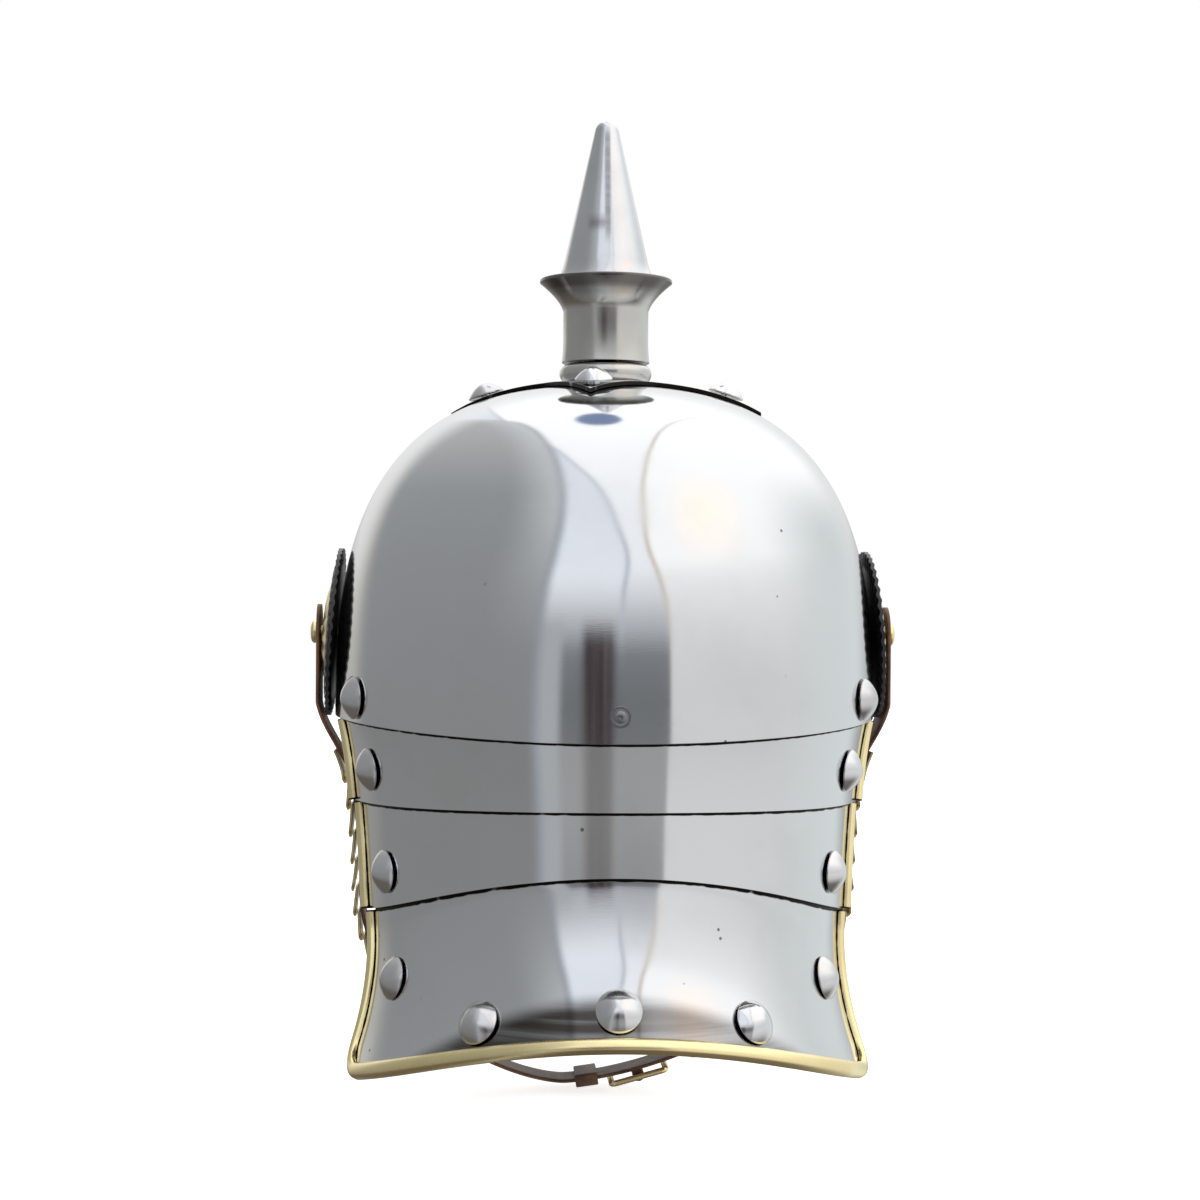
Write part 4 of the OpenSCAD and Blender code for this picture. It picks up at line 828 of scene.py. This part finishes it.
a = np.radians(np.linspace(88, 0, 30))
bell = np.stack([mix(NECK_R, COLLAR_R, np.cos(a) ** TRUMPET), NECK_H + (COLLAR_H - COLLAR_T) * np.cos(a)], -1)
foot = np.stack([NECK_R + 0.5 * np.linspace(1, 0, 9) ** 2, np.linspace(0.25, NECK_FOOT_H, 9)], -1)
rim = [[COLLAR_R + 0.05, RIM_UP - COLLAR_T * 0.6], [COLLAR_R, RIM_UP - 0.25], [COLLAR_R - 0.3, RIM_UP],
       [COLLAR_R - 1.4, RIM_UP - 0.3], [FOOT_R, SEAT_UP], [0, SEAT_UP - 0.05]]
neck = lathe([[0, 0], [NECK_R + 0.3, 0]], foot, bell, rim, up=NECK_Z, segments=160)
# Painted shade under the collar's rim, through the haze mark.
below_rim = NECK_Z + RIM_UP - neck[0][:, 2]
piece("spike_neck", neck, neck_steel, "spike", "spike_neck",
      marks={"haze": 0.85 * smooth((9 - below_rim) / 6)})

v = np.linspace(0, 1, 24)
tip = arc(0, CONE_H - TIP_R, TIP_R, TIP_R, 10, 88, 18)
taper = (CONE_FOOT_H - 1) * (CONE_R - tip[0, 0]) / (tip[0, 1] - CONE_FOOT_H)
spread = (FOOT_R - 0.4 - CONE_R - taper) * (1 - v) ** CONE_FOOT_POWER
foot = np.stack([CONE_R + taper * (1 - v) + spread, mix(1, CONE_FOOT_H, v)], -1)
flank = mix(foot[-1], tip[0], np.linspace(0, 1, 30)[1:-1, None])
base = [[0, 0], [FOOT_R - 0.6, 0], [FOOT_R - 0.4, 0.2]]
cone = lathe(base, foot, flank, tip, [[0, CONE_H]], up=CONE_Z, segments=320)
# A darker streak and a darker spot on the cone's back, through the haze mark.
x, y, below_tip = cone[0][:, 0], cone[0][:, 1], CONE_Z + CONE_H - cone[0][:, 2]
streak = 0.55 * smooth(1.6 - np.abs(x) / 0.9) * smooth((below_tip - 2) / 5) * smooth((47 - below_tip) / 8)
dark_spot = 0.5 * smooth((3.4 - np.abs(below_tip - 38.5)) / 2.4) * smooth((x + 0.5) / 1.5) * smooth((8 - x) / 3)
piece("spike_cone", cone, spike_steel, "spike", "spike_cone",
      marks={"haze": (y > 0) * np.maximum(streak, dark_spot)})


# Stud, washer and nut: the spike's threaded stud runs through the crown into a hexagon nut. They
# show only from below. The thread is a row of ring grooves.
STUD_D, STUD_LOW, THREAD_PITCH, THREAD_DEPTH = 8, 103.7, 1.25, 0.35
WASHER_D, WASHER_T = 24, 1.5
NUT_AF, NUT_T = 13, 6
WASHER_Z = SKULL_H - PLATE_T - WASHER_T - 0.6
NUT_Z = WASHER_Z - NUT_T - 0.1


def prism(outline, low, high, bevel):
    """Solid of a flat outline between two heights, with both rims bevelled towards the middle."""
    outline = np.asarray(outline, float)
    inset = outline * (1 - bevel / np.linalg.norm(outline, axis=-1, keepdims=True))
    rows = [(inset, low), (outline, low + bevel), (outline, high - bevel), (inset, high)]
    rows = np.array([np.concatenate([flat, np.full((len(flat), 1), z)], -1) for flat, z in rows])
    return tube(rows, [0, 0, low], [0, 0, high])


def polygon(sides, flats, turn=0.0):
    """Corners of a regular polygon of a width across its flats, with points along each side."""
    a = np.radians(turn + 360 / sides * np.arange(sides + 1))
    corners = flats / 2 / math.cos(math.pi / sides) * np.stack([np.cos(a), np.sin(a)], -1)
    along = np.linspace(0, 1, 7)[:-1, None]
    return np.concatenate([mix(corners[i], corners[i + 1], along) for i in range(sides)])


r = STUD_D / 2
turns = np.arange(STUD_LOW, CONE_Z - 4, THREAD_PITCH / 2)
thread = [[r - THREAD_DEPTH * (i % 2), z] for i, z in enumerate(turns)]
top = [[r, CONE_Z - 3], [r, CONE_Z - 0.1], [0, CONE_Z - 0.1]]
threaded = lathe([[0, STUD_LOW]], thread, top, segments=48)
piece("spike_stud_thread", threaded, dull_steel, "spike", "spike_stud")
r = WASHER_D / 2
washer = [[0, 0], [r - 0.2, 0], [r, 0.2], [r, WASHER_T - 0.2], [r - 0.2, WASHER_T], [0, WASHER_T]]
piece("washer", lathe(washer, up=WASHER_Z), dull_steel, "helmet", "crown_washer")
piece("nut", prism(polygon(6, NUT_AF), NUT_Z, NUT_Z + NUT_T, 0.4), dull_steel, "helmet", "crown_nut")


# Visor: a steel flange on the forehead that turns out into a dropping brim. It follows the plain
# visors of such helmets, with the neck guard's brass edging and five small rivets.
VISOR_REACH, VISOR_DROP, VISOR_FLANGE, VISOR_FLANGE_LOW = 32, 14, 11, 4.8
VISOR_ANGLE, VISOR_BEND, VISOR_BEND_END = 36, 2.5, 0.1
VISOR_BEAD_INSET = 2.25
VISOR_RIVET_D, VISOR_RIVET_H, VISOR_RIVET_SEAT, VISOR_RIVET_Z = 7, 2.2, PLATE_T + 0.45, 6.3
VISOR_RIVET_FOOT, VISOR_RIVET_SHANK = 2.7, 1.5
VISOR_RIVET_ANGLES = (-44, -22, 0, 22, 44)


def visor_width(phi):
    """Reach of the brim, full at the front and falling off with the cube of the angle."""
    q = (np.degrees(phi) - 270) / (90 - VISOR_ANGLE)
    return VISOR_REACH * (1 - 0.98 * np.abs(q) ** 3) ** 0.9


def visor_at(phi, reach, z):
    """Point at a height, out from the bowl's lower edge by the flange's place and a reach."""
    normal = unit(np.stack([np.cos(phi) / (SKULL_W / 2), np.sin(phi) / SKULL_FRONT, 0 * phi], -1))
    flat = np.stack([SKULL_W / 2 * np.cos(phi), SKULL_FRONT * np.sin(phi), z + 0 * phi], -1)
    return flat + (PLATE_T + 0.1 + reach)[..., None] * normal


def brim(phi, w):
    """Point of the brim's upper face, w from 0 at the bend to 1 at the edge."""
    width = visor_width(phi)
    drop = VISOR_DROP * w ** 1.2 * width / VISOR_REACH
    return visor_at(phi, width * w, VISOR_BEND * np.clip(1 - 5 * w, 0, 1) ** 2 - drop)


phi = np.radians(np.linspace(180 + VISOR_ANGLE, 360 - VISOR_ANGLE, 145))
flange = [visor_at(phi, 0 * phi, z) for z in np.linspace(VISOR_FLANGE, VISOR_FLANGE_LOW, 8)]
start, end = flange[-1], brim(phi, np.full(phi.shape, VISOR_BEND_END))
knee = np.stack([start[:, 0], start[:, 1], end[:, 2] + 0.4], -1)
bend = [(1 - t) ** 2 * start + 2 * t * (1 - t) * knee + t * t * end for t in np.linspace(0, 1, 9)[1:]]
flat = [brim(phi, np.full(phi.shape, w)) for w in np.linspace(VISOR_BEND_END, 1, 31)[1:]]
face = np.array([*flange, *bend, *flat])
normal = unit(np.cross(np.gradient(face, axis=0), np.gradient(face, axis=1)))
outwards = visor_at(phi, 1 + 0 * phi, 0) - visor_at(phi, 0 * phi, 0)
normal *= np.sign((normal * outwards).sum(-1).mean())
piece("visor_brim", sheet(face, face - PLATE_T * normal, out=0.15), polished_steel, "helmet", "visor")

first, last = 180 + VISOR_ANGLE + VISOR_BEAD_INSET, 360 - VISOR_ANGLE - VISOR_BEAD_INSET
phi = np.radians(np.linspace(first, last, 181))
edge = brim(phi, np.ones(phi.shape))
inner = brim(phi, 1 - np.minimum(0.8, BEAD_W / visor_width(phi)))
normal = unit(np.cross(np.stack([-np.sin(phi), np.cos(phi), 0 * phi], -1), inner - edge))
piece("visor_bead", edging(edge, normal, inner, normal), brass, "helmet", "visor_edging")

r, seat, foot, shank = VISOR_RIVET_D / 2, VISOR_RIVET_SEAT, VISOR_RIVET_FOOT, VISOR_RIVET_SHANK
head = arc(0, seat + 0.2, r, VISOR_RIVET_H - 0.2, 8, 86, 12)
base = [[0, -seat - 0.8], [foot - 0.2, -seat - 0.8], [foot, -seat - 0.6], [foot, -seat], [shank, -seat],
        [shank, seat], [r - 0.1, seat]]
small_rivet = lathe(base, head, [[0, seat + VISOR_RIVET_H]], segments=40)
brim_rivets = [on_skin(small_rivet, 0, 270 + angle, VISOR_RIVET_Z) for angle in VISOR_RIVET_ANGLES]
piece("brim_rivets", joined(brim_rivets), rivet_steel, "helmet", "visor_rivets")


# Side fittings: on each side screw a black fluted cockade, a ring of silver cord and a domed brass
# rosette lie along the bowl's side. The strap's end and the screw's brass head come outermost.
LEFT, RIGHT = 1, -1
SIDES = ((LEFT, "left"), (RIGHT, "right"))
POST_Z, POST_D = 29, 5
SIDE_LEAN, SIDE_GAP = 4.2, 0.1
COCKADE_D, COCKADE_T, COCKADE_FLUTES, FLUTE_DEPTH, COCKADE_SEAT = 60, 1.2, 44, 0.6, 0.2
CORD_RING_D, CORD_RING_W, CORD_RING_T, CORD_TWISTS = 50, 3.5, 1.4, 40
CORD_HOLLOW = 0.2
ROSETTE_D, ROSETTE_T, ROSETTE_RISE, ROSETTE_RAYS, RAY_DEPTH = 42, 1, 2.6, 16, 0.4
STRAP_ROOT_W, LEATHER_T = 20, 1.5
KNOB_D, KNOB_H, KNOB_RIM, KNOB_FLAT = 8, 2.2, 0.9, 0.35
SIDE_NUT_W, SIDE_NUT_T, SIDE_NUT_GAP, SCREW_END = 10, 3, 0.9, 1.6
POST_X = SKULL_W / 2 * float(dome_share(np.array(POST_Z), SKULL_H))
CORD_SEAT = COCKADE_SEAT + COCKADE_T + SIDE_GAP
STRAP_LEAN = STRAP_ROOT_W / 2 * math.sin(math.radians(SIDE_LEAN))
STRAP_IN_X = POST_X + CORD_SEAT + ROSETTE_T + ROSETTE_RISE + STRAP_LEAN + 1.5 * SIDE_GAP
KNOB_X = STRAP_IN_X + LEATHER_T + 2 * SIDE_GAP
NUT_OUT_X = POST_X - PLATE_T - SIDE_NUT_T


def at_side(part, side, x, lean=0.0, up=0.0):
    """A part modelled along Z, stood on a side screw with Z outwards and X down, leant back by lean."""
    c, s = math.cos(math.radians(lean)), math.sin(math.radians(lean))
    points = (part[0] + [0, 0, up]) @ np.array([[s, 0, -c], [0, 1, 0], [c, 0, s]]) + [x, 0, POST_Z]
    return solid(points * [side, 1, 1], part[1])


def disc(radii, wave, low, high, segments):
    """Round sheet whose two faces both follow wave(radius, angle) between its low and high heights."""
    a = around(segments)
    rows = [np.stack([r * np.cos(a), r * np.sin(a), wave(r, a) + z + 0 * a], -1)
            for z, listed in ((low, radii), (high, radii[::-1])) for r in listed]
    return tube(np.array(rows), [0, 0, wave(0, a[:1])[0] + low], [0, 0, wave(0, a[:1])[0] + high])


def flutes(r, a):
    """Height of the cockade's flutes, which start under the cord and grow towards the rim."""
    return FLUTE_DEPTH * np.interp(r, (23.5, 25, 30), (0, 0.5, 1)) * (0.5 + 0.5 * np.cos(COCKADE_FLUTES * a))


def rosette_face(r, a):
    """Height of the rosette's dome with its rays."""
    share = np.clip((ROSETTE_D / 2 - r) / (ROSETTE_D / 2 - STRAP_ROOT_W / 2), 0, 1)
    rays = np.interp(r, (10.5, 12, 17.5, 19), (0, 1, 1, 0)) * (0.5 + 0.5 * np.cos(ROSETTE_RAYS * a))
    return ROSETTE_RISE * np.sin(share * math.pi / 2) ** 1.2 - RAY_DEPTH * rays


def hoop(rows):
    """Closed surface through rings of points, the last joined to the first."""
    return solid(rows, [grid_faces(*rows.shape[:2], wrap_rows=True, wrap_cols=True)])


radii = np.concatenate([[2, 12, 20, 23.5], np.linspace(24.3, COCKADE_D / 2 - 0.3, 9), [COCKADE_D / 2]])
cockade = disc(radii, flutes, 0, COCKADE_T, COCKADE_FLUTES * 8)
radii = np.concatenate([[2, 6, 9.9], np.linspace(10.4, ROSETTE_D / 2 - 0.3, 16), [ROSETTE_D / 2]])
rosette = disc(radii, rosette_face, 0, ROSETTE_T, ROSETTE_RAYS * 12)
a, b = around(CORD_TWISTS * 10)[:, None], around(24)[None]
swell = 1 - CORD_HOLLOW + CORD_HOLLOW * np.abs(np.cos(CORD_TWISTS / 2 * a + b / 2))
r = (CORD_RING_D - CORD_RING_W) / 2 + CORD_RING_W / 2 * swell * np.cos(b)
cord = hoop(np.stack([r * np.cos(a), r * np.sin(a), CORD_RING_T / 2 * (1 + swell * np.sin(b))], -1))
r, shank, low = KNOB_D / 2, POST_D / 2, NUT_OUT_X - SCREW_END - KNOB_X
knob = arc(r * KNOB_FLAT, KNOB_RIM, r * (1 - KNOB_FLAT), KNOB_H - KNOB_RIM, 0, 86, 14)
base = [[0, low], [shank - 0.3, low], [shank, low + 0.3], [shank, 0], [r - 0.2, 0], [r, 0.2], [r, 0.8]]
screw = lathe(base, knob, [[0, KNOB_H]], segments=48)
square_nut = prism(polygon(4, SIDE_NUT_W, 45), 0, SIDE_NUT_T, 0.3)

black_lacquer = metal("black_lacquer", (0.012, 0.012, 0.014), (0.05, 0.045, 0.04),
                      0.5, 0.28, 0.5, pits=0.0, grain=1.5, metallic=0.0)
cord_silver = metal("cord_silver", (0.42, 0.42, 0.43), (0.10, 0.09, 0.08), 0.8, 0.35, 0.6,
                    pits=0.0, grain=2.0)
fittings = (("fluted_cockade", "cockade", cockade, COCKADE_SEAT, black_lacquer, 50),
            ("silver_cord", "corded_ring", cord, CORD_SEAT, cord_silver, 60),
            ("domed_rosette", "rosette", rosette, CORD_SEAT, brass, 50))
for side, side_name in SIDES:
    for name, node, part, seat, material, sharp in fittings:
        piece(f"{name}_{side_name}", at_side(part, side, POST_X, SIDE_LEAN, seat), material, "helmet",
              f"{node}_{side_name}", sharp)
for name, node, part, x in (("knobbed_screws", "side_screws", screw, KNOB_X),
                            ("square_nuts", "side_nuts", square_nut, NUT_OUT_X - SIDE_NUT_GAP)):
    piece(name, joined([at_side(part, side, x) for side, _ in SIDES]), brass, "helmet", node)


# Chin strap: one leather loop from screw to screw. It lies against the cockades, tucks in under the
# ears and runs round under the chin, where its two ends meet. Two small loops on its right half
# hold the buckle.
LOOP_X, LOOP_Z, LOOP_DROP, LOOP_SHIFT = 86.3, -62, 69, 14
LOOP_SAG = {LEFT: 1.25, RIGHT: 1.3}
LEG_SHARE, TUCK_START, TUCK_BEND, TUCK_BEND_RUN, TUCK_FADE = 0.42, 4, 0.55, 0.45, 1.6
STRAP_W, STRAP_END = 15, 0.9993
BUCKLE_AT, WIRE_D = 0.865, 2.2
BAR_R = 0.4 * WIRE_D
EYE_R, EYE_WALL, EYE_LIFT = BAR_R + 0.08, 0.7, 0.25
BUCKLE_UP = LEATHER_T / 2 + EYE_R + EYE_WALL + EYE_LIFT
EAR_R, EAR_SINK, EAR_HALF, EAR_Y = 0.98, 0.55, 2.5, 4.2


def loop(side, t):
    """Point of the loop's middle surface, t from 0 at the screw to 1 at the lowest point: a leg that tucks in
    first quickly and then slowly, and a round part whose half width falls off with a power of the cosine."""
    z = mix(POST_Z, LOOP_Z, t / LEG_SHARE)
    u = np.clip((TUCK_START - z) / (TUCK_START - LOOP_Z), 0, 1)
    tuck = TUCK_BEND * smooth(u / TUCK_BEND_RUN) + (1 - TUCK_BEND) * (1 - (1 - u) ** TUCK_FADE)
    leg = side * mix(STRAP_IN_X + LEATHER_T / 2, LOOP_X, tuck)
    a = np.clip((t - LEG_SHARE) / (1 - LEG_SHARE), 0, 1) * math.pi / 2
    round_x = LOOP_SHIFT + (side * LOOP_X - LOOP_SHIFT) * np.clip(np.cos(a), 0, 1) ** LOOP_SAG[side]
    round_z = LOOP_Z - LOOP_DROP * np.sin(a)
    low = t >= LEG_SHARE
    return np.stack([np.where(low, round_x, leg), 0 * t, np.where(low, round_z, z)], -1)


def loop_out(side, t):
    """Outward direction of the loop, square to it in its plane."""
    d = loop(side, np.minimum(t + 0.01, 1)) - loop(side, np.maximum(t - 0.01, -0.05))
    return unit(np.stack([-side * d[..., 2], 0 * t, side * d[..., 0]], -1))


def signed_power(value, power):
    """Power of a value's size, with the value's sign."""
    return np.sign(value) * np.abs(value) ** power


def strap(side, end):
    """Leather strap: a round end over the screw, then a flat section with rounded edges along the loop."""
    top = STRAP_ROOT_W / 2 * np.cos(np.radians(np.linspace(4, 90, 16)))
    t = np.concatenate([-top / (POST_Z - LOOP_Z) * LEG_SHARE, np.linspace(0, end, 150)[1:]])
    above = t / LEG_SHARE * (POST_Z - LOOP_Z)
    half = np.where(t < 0, np.sqrt(np.maximum((STRAP_ROOT_W / 2) ** 2 - above ** 2, 0.01)),
                    mix(STRAP_ROOT_W, STRAP_W, smooth(1.6 * t)) / 2)
    b = around(36)
    thick = LEATHER_T / 2 * signed_power(np.sin(b), 0.6)
    rows = loop(side, t)[:, None] + thick[None, :, None] * loop_out(side, t)[:, None]
    rows[..., 1] += half[:, None] * signed_power(np.cos(b), 0.22)
    return tube(rows)


def on_strap(part, side, t, out=0.0):
    """A part stood on the loop, with X along the strap, Y across it and Z outwards."""
    t = np.array(float(t))
    n = loop_out(side, t)
    return solid(loop(side, t) + out * n + part[0] @ np.array([[n[2], 0, -n[0]], [0, 1, 0], n]), part[1])


def pipe(inner, outer, low, high, count):
    """Short pipe along Y between two radii and two places."""
    b = around(count)
    return hoop(np.array([np.stack([r * np.cos(b), y + 0 * b, r * np.sin(b)], -1)
                          for r, y in ((inner, low), (outer, low), (outer, high), (inner, high))]))


def leather_material(name, light, dark):
    """Worn leather: two browns in soft patches, fine pores and a low sheen."""
    made, tree = empty_material(name)
    place = add(tree, "ShaderNodeTexCoord").outputs["Object"]
    patch = noise(tree, place, 90.0, 6.0, Roughness=0.65)
    pores = add(tree, "ShaderNodeTexVoronoi", {"Vector": place, "Scale": 1400.0}, feature="F1")
    colour = mixed(tree, ramp(tree, patch, 0.35, 0.7), (*light, 1), (*dark, 1))
    normal = add(tree, "ShaderNodeBump", {
        "Height": pores.outputs["Distance"], "Strength": 0.35, "Distance": 0.0003}).outputs[0]
    rough = add(tree, "ShaderNodeMapRange", {"Value": patch, "To Min": 0.38, "To Max": 0.62}).outputs[0]
    shader = add(tree, "ShaderNodeBsdfPrincipled", {
        "Base Color": colour, "Roughness": rough, "Normal": normal})
    add(tree, "ShaderNodeOutputMaterial", {"Surface": shader.outputs[0]})
    return made


strap_leather = leather_material("strap_leather", (0.14, 0.065, 0.03), (0.05, 0.022, 0.012))
ears = [pipe(EAR_R, BUCKLE_UP - EAR_SINK, y - EAR_HALF, y + EAR_HALF, 32) for y in (-EAR_Y, EAR_Y)]
ears = [on_strap(ear, RIGHT, BUCKLE_AT, BUCKLE_UP) for ear in ears]
piece("leather_strap_left", strap(LEFT, 1.0), strap_leather, "chin_loop", "strap_left", 50)
piece("leather_strap_right", joined([strap(RIGHT, STRAP_END), *ears]), strap_leather, "chin_loop",
      "strap_right", 50)


# Chin scales: thin curved brass plates sewn on the strap, each with a round lower end that stands
# over the next one. They narrow towards the chin.
SCALES, SCALE_START, SCALE_STOP = 13, 0.19, 0.78
SCALE_W, SCALE_END_W, SCALE_T = 26, 17, 0.7
SCALE_RISE, SCALE_SEAT, SCALE_BOW, SCALE_LAP = 1.6, 0.5, 0.25, 0.25
SCALE_PITCH = (SCALE_STOP - SCALE_START) / SCALES
for side, side_name in SIDES:
    scales = []
    for k in range(SCALES):
        u, v = np.meshgrid(np.linspace(-1, 1, 25), np.linspace(0, 1, 15))
        t = SCALE_START + SCALE_PITCH * (k + v * (1 + SCALE_LAP * (1 - u * u)))
        lift = LEATHER_T / 2 + SCALE_SEAT + SCALE_RISE * v ** 1.3 - SCALE_BOW * u * u
        half = mix(SCALE_W, SCALE_END_W, k / (SCALES - 1)) / 2 * (1 - 0.08 * v ** 6)
        base, out = loop(side, t), loop_out(side, t)
        base[..., 1] += half * u
        scales.append(sheet(*[base + (lift + rise)[..., None] * out for rise in (SCALE_T, 0)], out=0.15))
    piece(f"brass_scales_{side_name}", joined(scales), brass, "chin_loop", f"scales_{side_name}")


# Buckle: a frame of brass wire with a middle bar, a prong that turns on the bar, and a leather
# keeper for the strap's end. All are modelled flat, with X along the strap, and stood on it.
BUCKLE_HALF_L, BUCKLE_HALF_W, BUCKLE_CORNER = 10, (STRAP_W + WIRE_D + 1.6) / 2, 2
EYE_HALF = 1.2
KEEPER_AT, KEEPER_L, KEEPER_WALL, KEEPER_PLAY, KEEPER_BEVEL = 0.945, 8, 1.2, 0.4, 0.3


def cable(path, radius, closed=False):
    """Round wire along a path that lies in its XY plane."""
    path = np.asarray(path, float)
    along = unit(np.roll(path, -1, 0) - np.roll(path, 1, 0)) if closed else unit(np.gradient(path, axis=0))
    across = np.stack([-along[:, 1], along[:, 0], 0 * along[:, 0]], -1)
    b = around(16)[None, :, None]
    rows = path[:, None] + radius * (np.cos(b) * across[:, None] + np.sin(b) * np.array([0, 0, 1.0]))
    return hoop(rows) if closed else tube(rows, path[0], path[-1])


def cornered(share, half):
    """Coordinate of a rectangle with rounded corners, from the cosine or the sine of its angle."""
    return np.sign(share) * (half - BUCKLE_CORNER * (1 - np.abs(share))) * (np.abs(share) > 1e-6)


a = np.radians(np.arange(0, 360, 5))
frame_path = np.stack([cornered(np.cos(a), BUCKLE_HALF_L), cornered(np.sin(a), BUCKLE_HALF_W), 0 * a], -1)
bar_path = np.linspace([0, -BUCKLE_HALF_W, 0], [0, BUCKLE_HALF_W, 0], 9)
wires = joined([cable(frame_path, WIRE_D / 2, closed=True), cable(bar_path, BAR_R)])
eye = pipe(EYE_R, EYE_R + EYE_WALL, -EYE_HALF, EYE_HALF, 40)
x = np.concatenate([[1.2, 1.4, 1.8], np.linspace(2.4, 10.2, 10), [10.6]])[:, None]
z = np.interp(x, (1.2, 1.8, 2.8), (0.6, 1.5, 1.85))
half, thick = np.interp(x, (1.2, 9, 10.6), (1.2, 0.9, 0.35)), 0.6 * np.interp(x, (9.8, 10.6), (1, 0.5))
b = around(20)
arm = tube(np.stack([x + 0 * b, half * np.cos(b), z + thick * np.sin(b)], -1))
for name, part, body, node in (("wire_buckle", wires, "chin_loop", "buckle_frame"),
                               ("brass_prong", joined([eye, arm]), "prong", "buckle_prong")):
    piece(name, on_strap(part, RIGHT, BUCKLE_AT, BUCKLE_UP), brass, body, node, 50)

b = around(48)
flat = np.stack([signed_power(np.sin(b), 0.3), signed_power(np.cos(b), 0.15)], -1)
hole = np.array([LEATHER_T / 2 + KEEPER_PLAY, STRAP_W / 2 + KEEPER_PLAY])
end, bevelled = KEEPER_L / 2, KEEPER_L / 2 - KEEPER_BEVEL
rows = []
for x, grow in ((-bevelled, 1), (bevelled, 1), (end, 0.8), (end, 0.2), (bevelled, 0), (-bevelled, 0),
                (-end, 0.2), (-end, 0.8)):
    section = flat * (hole + KEEPER_WALL * grow)
    rows.append(np.stack([x + 0 * b, section[:, 1], section[:, 0]], -1))
piece("leather_keeper", on_strap(hoop(np.array(rows)), RIGHT, KEEPER_AT), strap_leather, "chin_loop",
      "strap_keeper", 50)


# Lining: a leather sweatband round the inside and twelve leather tongues that are sewn in behind
# it and lean together under the crown.
BAND_FRONT, BAND_BACK, BAND_T, BAND_LOW, BAND_H = 2.8, 5.4, 1.8, 1.5, 22
TONGUES, TONGUE_T, TONGUE_INSET, TONGUE_LOW, TONGUE_TOP = 12, 1.4, 7.8, 14, 104
lining_leather = leather_material("lining_leather", (0.34, 0.20, 0.10), (0.17, 0.09, 0.045))


def band_inset(phi):
    """Distance from the bowl's outer face to the sweatband: more at the back, behind the first neck plate."""
    return mix(BAND_FRONT, BAND_BACK, smooth(2 * np.sin(phi)))


phi, z = np.meshgrid(around(192), np.linspace(BAND_LOW, BAND_H, 9))
inset = band_inset(phi)[..., None]
sweatband = sheet(bowl(phi, z, -inset), bowl(phi, z, -inset - BAND_T), wrap=True)
piece("leather_sweatband", sweatband, lining_leather, "helmet", "sweatband")
tongues = []
for k in range(TONGUES):
    u, v = np.meshgrid(np.linspace(-1, 1, 13), np.linspace(0, 1, 41))
    half = mix(0.94, 0.55, v) * math.pi / TONGUES * np.sqrt(1 - np.clip((v - 0.93) / 0.075, 0, 1) ** 2)
    phi = (k + 0.5) * 2 * math.pi / TONGUES + u * half
    z = mix(TONGUE_LOW, TONGUE_TOP, np.sin(v * math.pi / 2))
    inset = mix(band_inset(phi) + BAND_T + 0.2, TONGUE_INSET, smooth((z - 16) / 9))[..., None]
    tongues.append(sheet(bowl(phi, z, -inset), bowl(phi, z, -inset - TONGUE_T), out=0.2))
piece("leather_tongues", joined(tongues), lining_leather, "helmet", "lining_tongues")
